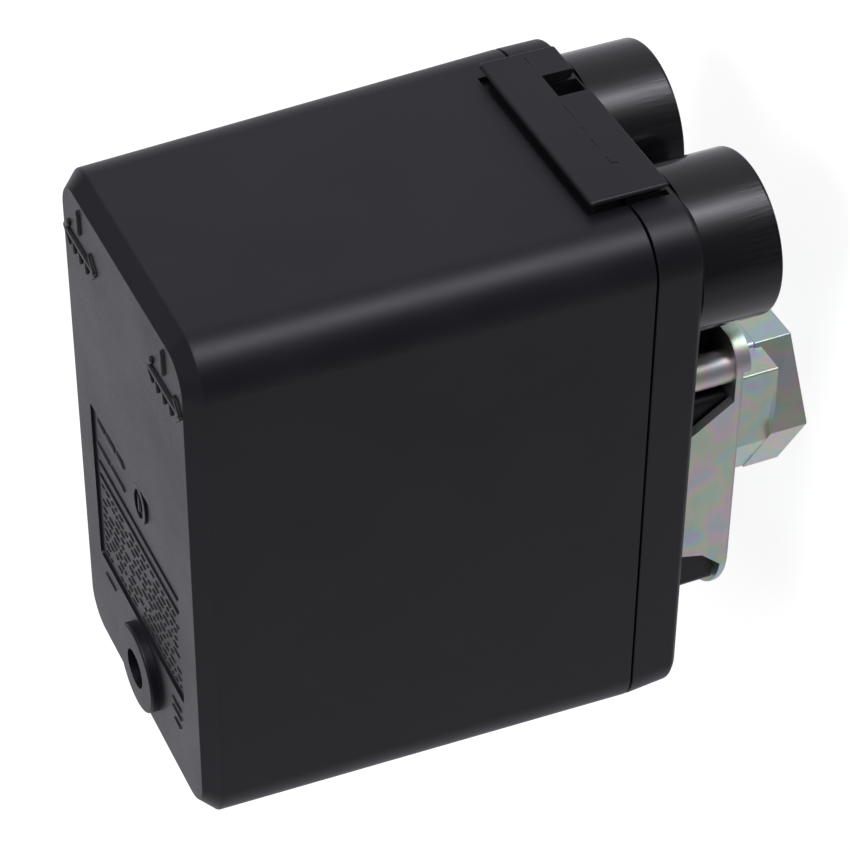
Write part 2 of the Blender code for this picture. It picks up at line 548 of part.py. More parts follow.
def build():
    clear_scene()
    black = material("black_plastic", (0.018, 0.018, 0.021), 0.5)
    gloss = material("gloss_black_plastic", (0.014, 0.014, 0.017), 0.25)
    rubber = material("seal_rubber", (0.03, 0.03, 0.03), 0.7)
    zinc = material("zinc_plate", (0.56, 0.60, 0.56), 0.35, 1.0)
    steel = material("bright_steel", (0.60, 0.60, 0.62), 0.3, 1.0)
    wire_steel = material("spring_steel", (0.45, 0.45, 0.47), 0.3, 1.0)
    brass = material("contact_brass", (0.72, 0.52, 0.24), 0.35, 1.0)
    phenolic = material("phenolic", (0.05, 0.028, 0.018), 0.5)

    make_cover(black)
    make_base(black)
    for side, x in (("left", -SLEEVE_X), ("right", SLEEVE_X)):
        make_sleeve(side, x, gloss)
        make_seal(side, x, rubber)
    make_cover_fixing(steel)

    make_port(zinc)
    make_flange_plate(zinc)
    make_chamber(steel, zinc, rubber)
    make_flange_screws(steel)
    make_plunger(brass)

    make_bracket(zinc)
    for side, x in (("left", -12.0), ("right", 12.0)):
        slotted_screw(f"bracket_screw_{side}", (x, -27.0, 0.0), 3.0, (32.6, 34.4), 1.45, 27.4, steel)
    make_lever(steel)
    make_lever_pin(steel)
    make_spring_bridge(zinc)
    metals = (steel, zinc, wire_steel)
    make_adjuster("range", RANGE_X, 2.0, 47.0, 8.0, 4.0, 6.25, (66.0, 69.5), (5.2, 0.75, 8), metals)
    make_adjuster("differential", DIFFERENTIAL_X, 1.6, 50.0, 6.5, 3.2, 4.5, (64.0, 67.0), (3.4, 0.5, 9), metals)

    make_contacts(phenolic, brass, steel, wire_steel)
    make_earth_terminal(brass, steel)


build()
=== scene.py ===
"""Looks of the pressure switch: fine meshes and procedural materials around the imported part.

Lengths below are in millimetres in the part's own frame and MM turns them into metres. +Z runs from
the pressure port to the cover's top face, and the two cable sleeves are on the +Y side.
"""

import math
import random

import bmesh
import bpy
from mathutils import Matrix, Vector


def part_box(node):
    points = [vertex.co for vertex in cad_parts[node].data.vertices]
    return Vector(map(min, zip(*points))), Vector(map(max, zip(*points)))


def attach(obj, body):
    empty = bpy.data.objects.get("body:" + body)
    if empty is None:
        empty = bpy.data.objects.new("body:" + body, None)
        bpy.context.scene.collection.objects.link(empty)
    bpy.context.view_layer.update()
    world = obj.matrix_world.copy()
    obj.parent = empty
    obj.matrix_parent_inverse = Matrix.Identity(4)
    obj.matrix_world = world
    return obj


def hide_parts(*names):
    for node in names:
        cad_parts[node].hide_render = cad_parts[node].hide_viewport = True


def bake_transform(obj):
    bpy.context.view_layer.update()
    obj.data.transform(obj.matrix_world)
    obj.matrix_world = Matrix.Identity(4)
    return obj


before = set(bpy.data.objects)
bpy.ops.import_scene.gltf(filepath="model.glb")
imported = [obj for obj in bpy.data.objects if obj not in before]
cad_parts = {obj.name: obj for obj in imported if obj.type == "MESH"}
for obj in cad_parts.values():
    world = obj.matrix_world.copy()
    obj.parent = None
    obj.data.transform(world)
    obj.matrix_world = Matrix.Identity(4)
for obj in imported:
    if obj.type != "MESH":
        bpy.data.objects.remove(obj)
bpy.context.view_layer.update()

MM = 0.001
GAP = 0.3  # clearance between neighbouring pieces
SHARP_ANGLE = 42.0  # edges sharper than this many degrees stay sharp in the shading


def node_box(node):
    low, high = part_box(node)
    return low / MM, high / MM


COVER_LOW, COVER_HIGH = node_box("cover")
BASE_LOW = node_box("base")[0]
PORT_LOW, PORT_HIGH = node_box("port_body")
PLATE_LOW, PLATE_HIGH = node_box("flange_plate")
SLEEVE_LOW, SLEEVE_HIGH = node_box("cable_sleeve_right")

# housing
BASE_BOTTOM, SEAM, TOP, FLOOR_TOP = 27.9, 35.7, 104.2, 30.5
SEAM_W = COVER_HIGH.x - COVER_LOW.x
SEAM_BACK, SEAM_FRONT = BASE_LOW.y, 44.45
SEAM_D, SEAM_Y = SEAM_FRONT - SEAM_BACK, (SEAM_FRONT + SEAM_BACK) / 2
TOP_W, TOP_D, TOP_Y = 52.85, 89.4, -1.5
CORNER_R, CHAMFER, WALL = 7.5, 2.35, 2.4
TONGUE_HALF, TONGUE_Y = 18.7, COVER_HIGH.y
TONGUE_BOTTOM, TONGUE_TOP = COVER_LOW.z, 41.7
WINDOW, GROOVE = (-12.0, -6.3), 0.9
BOSS_Y, BOSS_R, BOSS_TOP = -35.0, 7.15, COVER_HIGH.z
PANEL_HALF, PANEL_LOW, PANEL_HIGH, PANEL_DEPTH = 18.0, -26.7, 3.3, 0.4
EARTH_Y = 36.0

# pressure side
PORT_Y = (PORT_LOW.y + PORT_HIGH.y) / 2
HEX_TOP, HEX_AF, PORT_BORE = 6.4, 25.1, 5.75
SHOULDER_HALF, SHOULDER_FRONT = 13.2, 11.8
PLATE_BOTTOM, PLATE_TOP = 16.5, 18.0
PLATE_HALF, PLATE_BACK_R, PLATE_FRONT_R, SHEET = PLATE_HIGH.x, 10.0, 4.5, 1.5
PAD_BOTTOM, PAD_BACK, PAD_HALF, EAR_BACK = PLATE_LOW.z, 3.5, 16.8, 10.5
PLINTH_HALF, PLINTH_BACK, PLINTH_FRONT = 20.1, -32.0, 5.6
NOSE_HALF, NOSE_FRONT = 15.0, 16.3
STUD_X, STUD_Y, STUD_R = 19.0, 10.2, 2.6
CHAMBER_R = 16.5
FLANGE_SCREWS = [(-16.0, -28.2), (16.0, -28.2), (-11.0, 10.3), (11.0, 10.3)]
CLAMP_AT = 8.9

# cable sleeves
SLEEVE_X = (SLEEVE_LOW.x + SLEEVE_HIGH.x) / 2
SLEEVE_Y = (SLEEVE_LOW.y + SLEEVE_HIGH.y) / 2
SLEEVE_R, SLEEVE_END = (SLEEVE_HIGH.x - SLEEVE_LOW.x) / 2, SLEEVE_LOW.z

# mechanism
BRIDGE_TOP = 82.3
SPRING_Y, RANGE_X, DIFFERENTIAL_X = -9.0, -8.0, 9.0
SPRING_SEAT, SPRING_FOOT = 43.6, 45.85
POLES = (-12.0, 0.0, 12.0)
CARRIER_Y = 13.5
BLOCK_TOP, TERMINAL_ROWS = 60.6, (("front", 23.2), ("rear", 3.8))
BRACKET_SCREW_X, BRACKET_SCREW_Y = 12.0, -27.0

# studio: tint of its sides, level of its roof, share of the light that is left far below the object
STUDIO_TINT = (0.98, 0.98, 1.06)
ROOF_LEVEL, UNDER_LEVEL = 0.23, 0.40

# viewpoint of the main picture
CAMERA_AT = (343.2, 317.9, 213.1)
CAMERA_TURN = (-39.383, 66.056, 1.123)
CAMERA_LENS = 140.07


# ---------------------------------------------------------------- outlines

def soften(points, radius, steps=4, closed=False):
    """Round the corners of a 2-D line. Radius is one number, or one for each point."""
    count = len(points)
    radii = radius if isinstance(radius, (list, tuple)) else [radius] * count
    out = []
    for i, point in enumerate(points):
        here = Vector(point)
        end = not closed and i in (0, count - 1)
        if end or radii[i] <= 0:
            out.append(tuple(here))
            continue
        before = Vector(points[i - 1]) - here
        after = Vector(points[(i + 1) % count]) - here
        reach = 0.48 * min(before.length, after.length)
        before.normalize()
        after.normalize()
        half = math.acos(max(-1.0, min(1.0, before.dot(after)))) / 2
        if half > math.radians(89.0):
            out.append(tuple(here))
            continue
        back = min(radii[i] / math.tan(half), reach)
        round_r = back * math.tan(half)
        middle = here + (before + after).normalized() * (round_r / math.sin(half))
        start = here + before * back - middle
        turn = start.angle_signed(here + after * back - middle)
        for k in range(steps + 1):
            angle = -turn * k / steps
            c, s = math.cos(angle), math.sin(angle)
            out.append((middle.x + c * start.x - s * start.y, middle.y + s * start.x + c * start.y))
    return out


def circle(radius, steps, x=0.0, y=0.0):
    turns = [2 * math.pi * k / steps for k in range(steps)]
    return [(x + radius * math.cos(t), y + radius * math.sin(t)) for t in turns]


def hexagon(across_flats, x=0.0, y=0.0):
    return circle(across_flats / math.sqrt(3), 6, x, y)


def rectangle(x, y):
    return [(x[0], y[0]), (x[1], y[0]), (x[1], y[1]), (x[0], y[1])]


def rounded(width, depth, radius, z, centre_y=0.0, steps=14):
    """A rounded rectangle as a ring of points at height z."""
    points = []
    for quarter, (sx, sy) in enumerate(((1, 1), (-1, 1), (-1, -1), (1, -1))):
        for k in range(steps + 1):
            turn = math.radians(90 * (quarter + k / steps))
            x = sx * (width / 2 - radius) + radius * math.cos(turn)
            y = centre_y + sy * (depth / 2 - radius) + radius * math.sin(turn)
            points.append((x, y, z))
    return points


def place(axis, u, v, w):
    """Outline point (u, v) at depth w along axis, as x, y, z."""
    return {"X": (w, u, v), "Y": (u, w, v), "Z": (u, v, w)}[axis]


# ---------------------------------------------------------------- meshes

def add_object(name, bm, finish=None):
    bmesh.ops.recalc_face_normals(bm, faces=bm.faces)
    bmesh.ops.scale(bm, vec=(MM, MM, MM), verts=bm.verts)
    mesh = bpy.data.meshes.new(name)
    bm.to_mesh(mesh)
    bm.free()
    if finish:
        mesh.materials.append(finish)
    made = bpy.data.objects.new(name, mesh)
    bpy.context.scene.collection.objects.link(made)
    return made


def skin(bm, rings, wrap=False):
    """Join rows of points with faces, in an existing bmesh."""
    loops = [[bm.verts.new(p) for p in ring] for ring in rings]
    count = len(loops[0])
    pairs = list(zip(loops, loops[1:]))
    if wrap:
        pairs.append((loops[-1], loops[0]))
    for low, high in pairs:
        for i in range(count):
            j = (i + 1) % count
            bm.faces.new((low[i], low[j], high[j], high[i]))
    if not wrap:
        bm.faces.new(loops[0])
        bm.faces.new(loops[-1])


def loft(name, rings, finish=None, wrap=False):
    bm = bmesh.new()
    skin(bm, rings, wrap)
    return add_object(name, bm, finish)


def prism(name, outline, low, high, finish=None, axis="Z"):
    return loft(name, [[place(axis, u, v, w) for u, v in outline] for w in (low, high)], finish)


def block(name, x, y, z):
    return prism(name, rectangle(x, y), *z)


def turned(name, profile, finish=None, at=(0.0, 0.0), steps=64, bored=False):
    """Turn a profile of (radius, z) about a vertical axis. A bored profile is a closed section."""
    bm = bmesh.new()
    loops = []
    for radius, z in profile:
        if radius < 1e-6:
            loops.append([bm.verts.new((at[0], at[1], z))])
        else:
            loops.append([bm.verts.new((x, y, z)) for x, y in circle(radius, steps, *at)])
    pairs = list(zip(loops, loops[1:]))
    if bored:
        pairs.append((loops[-1], loops[0]))
    for low, high in pairs:
        for i in range(steps):
            j = (i + 1) % steps
            corners = [low[i % len(low)], low[j % len(low)], high[j % len(high)], high[i % len(high)]]
            bm.faces.new(list(dict.fromkeys(corners)))
    return add_object(name, bm, finish)


def coil(name, radius, wire, low, high, turns, finish, at):
    """A compression spring wound about Z between two heights, with one flat turn at each end."""
    around, across = 40, 12
    total = turns * around
    settle = 2.2 * wire
    climb = high - low - 2 * wire - 2 * settle
    rings = []
    for k in range(total + 1):
        first = min(k / around, 1.0)
        last = max((k - total) / around + 1.0, 0.0)
        rise = min(max((k - around) / (total - 2 * around), 0.0), 1.0)
        z = low + wire + settle * (first + last) + climb * rise
        turn = 2 * math.pi * k / around
        out = Vector((math.cos(turn), math.sin(turn), 0.0))
        centre = out * radius + Vector((at[0], at[1], z))
        ring = []
        for a in range(across):
            angle = 2 * math.pi * a / across
            ring.append(centre + out * wire * math.cos(angle) + Vector((0.0, 0.0, wire * math.sin(angle))))
        rings.append(ring)
    return loft(name, rings, finish)


def threaded(name, radius, depth, pitch, low, high, finish, at, wall=0.0, around=32, rows=6):
    """A helical thread. With a wall it is a tube with the thread inside, without one it is a rod."""
    steps = max(2, round((high - low) / pitch * rows))
    rings = []
    for k in range(steps + 1):
        z = low + (high - low) * k / steps
        fade = min(1.0, (z - low) / pitch, (high - z) / pitch)
        ring = []
        for a in range(around):
            turn = a / around
            saw = abs(2 * ((z / pitch - turn) % 1.0) - 1)
            r = radius - depth * saw * max(fade, 0.0)
            angle = 2 * math.pi * turn
            ring.append((at[0] + r * math.cos(angle), at[1] + r * math.sin(angle), z))
        rings.append(ring)
    if wall:
        for z in (high, low):
            rings.append([(x, y, z) for x, y in circle(radius + wall, around, *at)])
    return loft(name, rings, finish, wrap=bool(wall))


def combine(target, tool, operation):
    step = target.modifiers.new(tool.name, "BOOLEAN")
    step.operation = operation
    step.solver = "EXACT"
    step.object = tool
    return target


def cut(target, tool):
    return combine(target, tool, "DIFFERENCE")


def join(target, tool):
    return combine(target, tool, "UNION")


def bore(target, radius, low, high, x=0.0, y=0.0, steps=40):
    return cut(target, prism("bore", circle(radius, steps, x, y), low, high))


def settle(piece):
    """Apply a piece's modifiers and remove the tools they used."""
    tools = [m.object for m in piece.modifiers if m.type == "BOOLEAN"]
    bpy.context.view_layer.update()
    graph = bpy.context.evaluated_depsgraph_get()
    mesh = bpy.data.meshes.new_from_object(piece.evaluated_get(graph))
    piece.modifiers.clear()
    old = piece.data
    piece.data = mesh
    mesh.name = piece.name
    bpy.data.meshes.remove(old)
    for tool in tools:
        bpy.data.objects.remove(tool, do_unlink=True)
    return piece


def finish_edges(piece, width=0.15, segments=3, angle=32.0):
    """Round a piece's sharp edges, then shade it so that its flat faces stay flat."""
    settle(piece)
    if width:
        step = piece.modifiers.new("round_edges", "BEVEL")
        step.width = width * MM
        step.segments = segments
        step.limit_method = "ANGLE"
        step.angle_limit = math.radians(angle)
        step.miter_outer = "MITER_ARC"
        settle(piece)
    piece.data.shade_smooth()
    piece.data.set_sharp_from_angle(angle=math.radians(SHARP_ANGLE))
    flat = piece.modifiers.new("flat_faces", "WEIGHTED_NORMAL")
    flat.keep_sharp = True
    return piece


def fit(piece, body, slot, *nodes):
    """Let a finished piece ride on its body in place of the nodes it stands for."""
    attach(piece, body)
    if nodes:
        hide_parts(*nodes)
    return piece


def fit_plain(piece, body, slot, *nodes):
    """Shade and fit a piece whose edges are already rounded in its own outline."""
    return fit(finish_edges(piece, 0.0), body, slot, *nodes)


# ---------------------------------------------------------------- materials

class Surface:
    """A Principled material with short helpers for its texture nodes. Texture space is millimetres."""

    def __init__(self, name, colour, roughness, metallic=0.0):
        self.material = bpy.data.materials.new(name)
        self.material.use_nodes = True
        self.tree = self.material.node_tree
        self.shader = self.tree.nodes["Principled BSDF"]
        self.shader.inputs["Base Color"].default_value = (*colour, 1.0)
        self.shader.inputs["Roughness"].default_value = roughness
        self.shader.inputs["Metallic"].default_value = metallic
        place_node = self.add("TexCoord")
        scale = self.add("VectorMath", operation="SCALE", Vector=place_node.outputs["Object"])
        scale.inputs["Scale"].default_value = 1 / MM
        self.space = scale.outputs[0]

    def add(self, kind, **values):
        """Add a shader node of a kind. Each value sets the input or the property of its name."""
        made = self.tree.nodes.new("ShaderNode" + kind)
        for key, value in values.items():
            label = key.replace("_", " ")
            if label in made.inputs:
                self.feed(made.inputs[label], value)
            else:
                setattr(made, key, value)
        return made

    def feed(self, socket, value):
        if isinstance(value, bpy.types.NodeSocket):
            self.tree.links.new(value, socket)
        else:
            socket.default_value = value

    def stretched(self, x=1.0, y=1.0, z=1.0):
        made = self.add("VectorMath", operation="MULTIPLY")
        self.feed(made.inputs[0], self.space)
        made.inputs[1].default_value = (x, y, z)
        return made.outputs[0]

    def noise(self, size, detail=3.0, rough=0.5, space=None, distortion=0.0):
        """Cloudy noise whose lumps are about size millimetres across."""
        made = self.add("TexNoise", Vector=space or self.space, Scale=1 / size, Detail=detail,
                        Roughness=rough, Distortion=distortion)
        return made.outputs["Fac"]

    def spread(self, value, low, high, start=0.3, end=0.7):
        """Map a noise value onto a range."""
        made = self.add("MapRange", Value=value)
        for key, number in (("From Min", start), ("From Max", end), ("To Min", low), ("To Max", high)):
            made.inputs[key].default_value = number
        return made.outputs[0]

    def math(self, operation, a, b=0.0):
        made = self.add("Math", operation=operation)
        self.feed(made.inputs[0], a)
        self.feed(made.inputs[1], b)
        return made.outputs[0]

    def mix(self, share, a, b, blend="MIX"):
        """Mix two colours."""
        made = self.add("Mix", data_type="RGBA", blend_type=blend)
        self.feed(made.inputs[0], share)
        for socket, value in ((made.inputs[6], a), (made.inputs[7], b)):
            self.feed(socket, value if isinstance(value, bpy.types.NodeSocket) else (*value, 1.0))
        return made.outputs[2]

    def ramp(self, value, stops):
        made = self.add("ValToRGB", Fac=value)
        elements = made.color_ramp.elements
        while len(elements) < len(stops):
            elements.new(0.5)
        for element, (position, colour) in zip(elements, stops):
            element.position = position
            element.color = (*colour, 1.0)
        return made.outputs["Color"]

    def edges(self, radius=0.25):
        """About 1 near a sharp edge and 0 elsewhere."""
        around = self.add("Bevel", samples=4, Radius=radius * MM)
        here = self.add("NewGeometry")
        dot = self.add("VectorMath", operation="DOT_PRODUCT")
        self.feed(dot.inputs[0], around.outputs[0])
        self.feed(dot.inputs[1], here.outputs["Normal"])
        return self.spread(dot.outputs["Value"], 1.0, 0.0, 0.80, 0.985)

    def bump(self, *layers):
        """Stack bump layers of (height, depth in millimetres) onto the surface."""
        normal = None
        for height, depth in layers:
            made = self.add("Bump", Height=height, Distance=depth * MM)
            if normal:
                self.feed(made.inputs["Normal"], normal)
            normal = made.outputs["Normal"]
        self.feed(self.shader.inputs["Normal"], normal)

    def set(self, **inputs):
        for key, value in inputs.items():
            if isinstance(value, tuple):
                value = (*value, 1.0)
            self.feed(self.shader.inputs[key.replace("_", " ")], value)
        return self


def moulded_plastic():
    """Satin black housing: fine spark-eroded grain, faint flow clouds, and edges lighter in colour, partly
    rubbed wear and partly a painted edge highlight.
    """
    s = Surface("moulded_black", (0.005, 0.005, 0.007), 0.40)
    clouds = s.noise(14.0, 2.0)
    grain = s.noise(0.34, 2.0, 0.6)
    pits = s.noise(0.9, 2.0, 0.5)
    # lighter, glossier edges: partly rubbed wear, partly a painted edge highlight
    wear_and_edge_highlight = s.math("MULTIPLY", s.edges(0.3), s.spread(s.noise(3.0), 0.1, 0.6))
    base = s.mix(s.spread(clouds, 0.0, 1.0), (0.0042, 0.0038, 0.0062), (0.0064, 0.0060, 0.0090))
    s.set(Base_Color=s.mix(wear_and_edge_highlight, base, (0.030, 0.030, 0.034)))
    rough = s.math("ADD", s.spread(clouds, 0.38, 0.43), s.spread(grain, -0.03, 0.03))
    s.set(Roughness=s.math("SUBTRACT", rough, s.math("MULTIPLY", wear_and_edge_highlight, 0.12)), IOR=1.42)
    s.bump((pits, 0.004), (grain, 0.0035))
    return s.material


def sleeve_plastic():
    """Glossy black sleeves with short drag marks along the axis near the open end."""
    s = Surface("gloss_black", (0.003, 0.003, 0.004), 0.15)
    marks = s.noise(1.1, 3.0, 0.6, s.stretched(2.4, 2.4, 0.16))
    split = s.add("SeparateXYZ", Vector=s.space)
    near_end = s.spread(split.outputs["Z"], 1.0, 0.12, SLEEVE_END + 1.0, SLEEVE_END + 8.5)
    streaks = s.math("MULTIPLY", s.spread(marks, 0.0, 1.0, 0.46, 0.62), near_end)
    clouds = s.noise(5.0, 3.0)
    s.set(Roughness=s.math("ADD", s.spread(clouds, 0.13, 0.18), s.math("MULTIPLY", streaks, 0.10)))
    s.set(Base_Color=s.mix(streaks, (0.0030, 0.0026, 0.0040), (0.0060, 0.0055, 0.0075)), IOR=1.5)
    s.bump((s.noise(0.5, 2.0), 0.0008), (streaks, 0.006))
    return s.material


def seal_rubber():
    s = Surface("seal_rubber", (0.014, 0.014, 0.014), 0.62)
    bloom = s.noise(2.2, 4.0, 0.6)
    s.set(Base_Color=s.mix(s.spread(bloom, 0.0, 1.0), (0.010, 0.010, 0.010), (0.030, 0.030, 0.029)))
    s.set(Roughness=s.spread(bloom, 0.50, 0.72))
    s.bump((s.noise(0.18, 3.0, 0.7), 0.006), (bloom, 0.01))
    return s.material


def zinc_plate():
    """Zinc with a thin passivated film: green, blue, pink and straw patches over a rolled grain."""
    s = Surface("passivated_zinc", (0.62, 0.66, 0.62), 0.32, 0.86)
    patches = s.noise(6.5, 2.0, 0.45, distortion=0.6)
    facing = s.add("LayerWeight", Blend=0.35)
    film = s.math("ADD", patches, s.math("MULTIPLY", facing.outputs["Facing"], 0.10))
    tint = s.ramp(film, [
        (0.34, (0.58, 0.58, 0.80)),
        (0.42, (0.50, 0.70, 0.76)),
        (0.49, (0.52, 0.74, 0.56)),
        (0.56, (0.70, 0.72, 0.50)),
        (0.63, (0.84, 0.58, 0.70)),
        (0.72, (0.60, 0.64, 0.70)),
    ])
    grain = s.noise(0.9, 4.0, 0.6, s.stretched(1.0, 0.25, 3.0))
    fine = s.noise(0.22, 2.0, 0.6)
    dull = s.noise(4.0, 3.0, 0.55)
    colour = s.mix(0.72, (0.62, 0.66, 0.61), tint)
    colour = s.mix(s.spread(dull, 0.0, 0.25), colour, (0.48, 0.51, 0.48))
    # the lighter colour along the edges is a painted edge highlight
    s.set(Base_Color=s.mix(s.math("MULTIPLY", s.edges(0.18), 0.7), colour, (0.86, 0.90, 0.86)))
    s.set(Roughness=s.math("ADD", s.spread(grain, 0.34, 0.46), s.spread(fine, -0.03, 0.04)))
    s.bump((dull, 0.008), (grain, 0.002), (fine, 0.0007))
    return s.material


def plated_steel(name, colour, roughness, along=(3.0, 0.3, 3.0)):
    """Bright steel with a drawn grain, small dull spots and edges brightened in colour as a painted
    highlight.
    """
    s = Surface(name, colour, roughness, 1.0)
    grain = s.noise(0.8, 4.0, 0.6, s.stretched(*along))
    spots = s.noise(3.0, 4.0, 0.6)
    dark = tuple(0.72 * c for c in colour)
    light = tuple(min(1.0, 1.25 * c) for c in colour)
    body = s.mix(s.spread(spots, 0.0, 0.7), colour, dark)
    # the lighter colour along the edges is a painted edge highlight
    s.set(Base_Color=s.mix(s.math("MULTIPLY", s.edges(0.12), 0.6), body, light))
    drawn = s.spread(grain, roughness - 0.06, roughness + 0.08)
    s.set(Roughness=s.math("ADD", drawn, s.spread(spots, 0.0, 0.06)))
    s.bump((grain, 0.004), (spots, 0.006))
    return s.material


def contact_brass():
    s = Surface("contact_brass", (0.74, 0.53, 0.25), 0.3, 1.0)
    tarnish = s.noise(2.5, 5.0, 0.6)
    grain = s.noise(0.5, 3.0, 0.6, s.stretched(3.0, 0.3, 3.0))
    body = s.mix(s.spread(tarnish, 0.0, 0.8), (0.76, 0.55, 0.27), (0.46, 0.30, 0.13))
    # the lighter colour along the edges is a painted edge highlight
    s.set(Base_Color=s.mix(s.math("MULTIPLY", s.edges(0.12), 0.6), body, (0.93, 0.76, 0.46)))
    s.set(Roughness=s.math("ADD", s.spread(grain, 0.22, 0.36), s.spread(tarnish, 0.0, 0.12)))
    s.bump((grain, 0.004))
    return s.material


def phenolic():
    """Dark brown moulded insulation with fibre flecks and a dull skin."""
    s = Surface("phenolic_moulding", (0.05, 0.028, 0.018), 0.45)
    flow = s.noise(7.0, 3.0)
    flecks = s.noise(0.35, 2.0, 0.7)
    body = s.mix(s.spread(flow, 0.0, 1.0), (0.040, 0.022, 0.014), (0.068, 0.038, 0.024))
    body = s.mix(s.spread(flecks, 0.0, 0.6, 0.58, 0.72), body, (0.13, 0.085, 0.055))
    # the lighter colour along the edges is a painted edge highlight
    s.set(Base_Color=s.mix(s.math("MULTIPLY", s.edges(0.2), 0.5), body, (0.16, 0.10, 0.07)))
    s.set(Roughness=s.spread(flow, 0.36, 0.52))
    s.bump((flecks, 0.004), (s.noise(1.6, 3.0), 0.008))
    return s.material


FINISH = {
    "housing_plastic": moulded_plastic(),
    "sleeve_plastic": sleeve_plastic(),
    "seal_rubber": seal_rubber(),
    "zinc_plate": zinc_plate(),
    "bright_steel": plated_steel("bright_steel", (0.64, 0.64, 0.66), 0.28),
    "spring_steel": plated_steel("spring_steel", (0.46, 0.46, 0.49), 0.26, (0.6, 0.6, 3.0)),
    "brass": contact_brass(),
    "phenolic": phenolic(),
}
PLASTIC, ZINC, STEEL = FINISH["housing_plastic"], FINISH["zinc_plate"], FINISH["bright_steel"]


# ---------------------------------------------------------------- cover

def wall_ring(z, inset):
    """Ring of the drafted housing wall at height z, moved inwards by inset."""
    share = max(0.0, (z - SEAM) / (TOP - CHAMFER - SEAM))
    share = min(share, 1.0)
    width = SEAM_W + (TOP_W - SEAM_W) * share - 2 * inset
    depth = SEAM_D + (TOP_D - SEAM_D) * share - 2 * inset
    return rounded(width, depth, CORNER_R - inset, z, SEAM_Y + (TOP_Y - SEAM_Y) * share)


def make_cover():
    bottom, roof = SEAM + GAP / 2, TOP - WALL
    inner_turn, deep = WALL + 3.0, CHAMFER + 3.5
    profile = [(inner_turn, roof), (WALL, roof), (WALL, bottom), (0.0, bottom), (0.0, TOP - CHAMFER),
               (CHAMFER, TOP), (deep, TOP)]
    profile = soften(profile, [0, 0.9, 0.25, 0.22, 0.55, 0.35, 0], 5)
    cover = loft("cover_shell", [wall_ring(z, inset) for inset, z in profile], PLASTIC)

    rise = [(0.0, roof + 0.8), (BOSS_R, roof + 0.8), (BOSS_R, BOSS_TOP), (0.0, BOSS_TOP)]
    join(cover, turned("boss", soften(rise, [0, 0, 0.4, 0], 5), None, (0.0, BOSS_Y), 72))
    tube_r, head_r, hole_r = 5.2, 3.2, 2.2
    tube_bottom, seat = 94.5, 98.0
    join(cover, prism("tube", circle(tube_r, 48, 0.0, BOSS_Y), tube_bottom, roof + 1.2))
    bore(cover, head_r, seat, BOSS_TOP + 1, 0.0, BOSS_Y, 53)
    bore(cover, hole_r, tube_bottom - 1, seat + 0.5, 0.0, BOSS_Y, 47)

    inside, lap = SEAM_FRONT - 1.2, SEAM_FRONT + GAP
    undercut = 1.1
    half = TONGUE_HALF - undercut - 0.1
    ends, rim = (1.0 - TONGUE_HALF, TONGUE_HALF + 0.1), TONGUE_TOP + 0.45
    cut(cover, block("groove", ends, (SEAM_FRONT - GROOVE, SEAM_FRONT + 1), (SEAM, rim)))
    join(cover, block("root", (-half, half), (inside, lap + 0.2), (SEAM + 0.9, TONGUE_TOP - undercut - 0.1)))
    join(cover, tongue_plate(lap, undercut))
    cut(cover, block("window", WINDOW, (lap - 0.1, TONGUE_Y + 1), (TONGUE_BOTTOM - 1, 34.6)))
    for x, width, z in tongue_marks():
        cut(cover, block("dash", (x - width / 2, x + width / 2), (TONGUE_Y - 0.07, TONGUE_Y + 1), z))

    floor = TOP - PANEL_DEPTH
    panel = soften(rectangle((-PANEL_HALF, PANEL_HALF), (PANEL_LOW, PANEL_HIGH)), 0.7, 4, True)
    cut(cover, prism("panel", panel, floor, TOP + 1))
    rib, rib_z = 0.6, (56.0, roof + 0.5)
    for x in (-14.0, 14.0):
        for middle in (41.0, -44.0):
            join(cover, block("rib", (x - rib, x + rib), (middle - 1.6, middle + 1.6), rib_z))
    for y in (-22.0, 2.0, 26.0):
        for side in (-1, 1):
            join(cover, block("rib", sorted((side * 23.3, side * 25.2)), (y - rib, y + rib), rib_z))
    finish_edges(cover, 0.14, 2, 40.0)
    return fit(cover, "cover", "housing_plastic", "cover")


def tongue_plate(lap, undercut):
    """Outer plate of the front tongue: rounded outer edges, and sides that lean inwards to the wall."""
    edge = 0.5
    profile = [(lap, undercut)]
    for k in range(7):
        turn = math.radians(90 * k / 6)
        profile.append((TONGUE_Y - edge * (1 - math.sin(turn)), edge * (1 - math.cos(turn))))
    rings = []
    for y, inset in profile:
        low = TONGUE_BOTTOM + min(inset, 0.5)
        high = TONGUE_TOP - inset
        corners = soften(rectangle((-TONGUE_HALF + inset, TONGUE_HALF - inset), (low, high)), 0.5, 3, True)
        rings.append([(x, y, z) for x, z in corners])
    return loft("tongue", rings)


def tongue_marks():
    """Short dashes pressed into the tongue in one line, as (middle x, width, heights)."""
    line = (34.80, 35.08)
    dashes = [(-15.5, 3.0, line), (-2.2, 3.6, line), (2.6, 1.6, line), (6.2, 2.4, line)]
    return dashes + [(10.6, 2.2, line), (11.4, 0.5, (33.9, 35.15))]


# ---------------------------------------------------------------- raised marks on the cover

def ribbon(bm, path, width, low, high):
    """A raised stroke with round ends along a path on the cover's top face."""
    def ring(half, z):
        points = [Vector(p) for p in path]
        sides = {1: [], -1: []}
        for i, here in enumerate(points):
            ahead = points[min(i + 1, len(points) - 1)] - points[max(i - 1, 0)]
            out = Vector((ahead.y, -ahead.x)).normalized()
            for side in sides:
                sides[side].append(here + out * half * side)
        first = (points[0] - points[1]).normalized()
        last = (points[-1] - points[-2]).normalized()
        tip = [points[-1] + last * half, points[0] + first * half]
        loop = sides[1] + [tip[0]] + sides[-1][::-1] + [tip[1]]
        return [(p.x, p.y, z) for p in loop]
    half = width / 2
    crown = half * 0.55
    turns = [math.radians(90 * k / 3) for k in range(4)]
    arc = [ring(half - 0.8 * half * (1 - math.cos(t)), high - crown * (1 - math.sin(t))) for t in turns]
    skin(bm, [ring(half, low)] + arc)


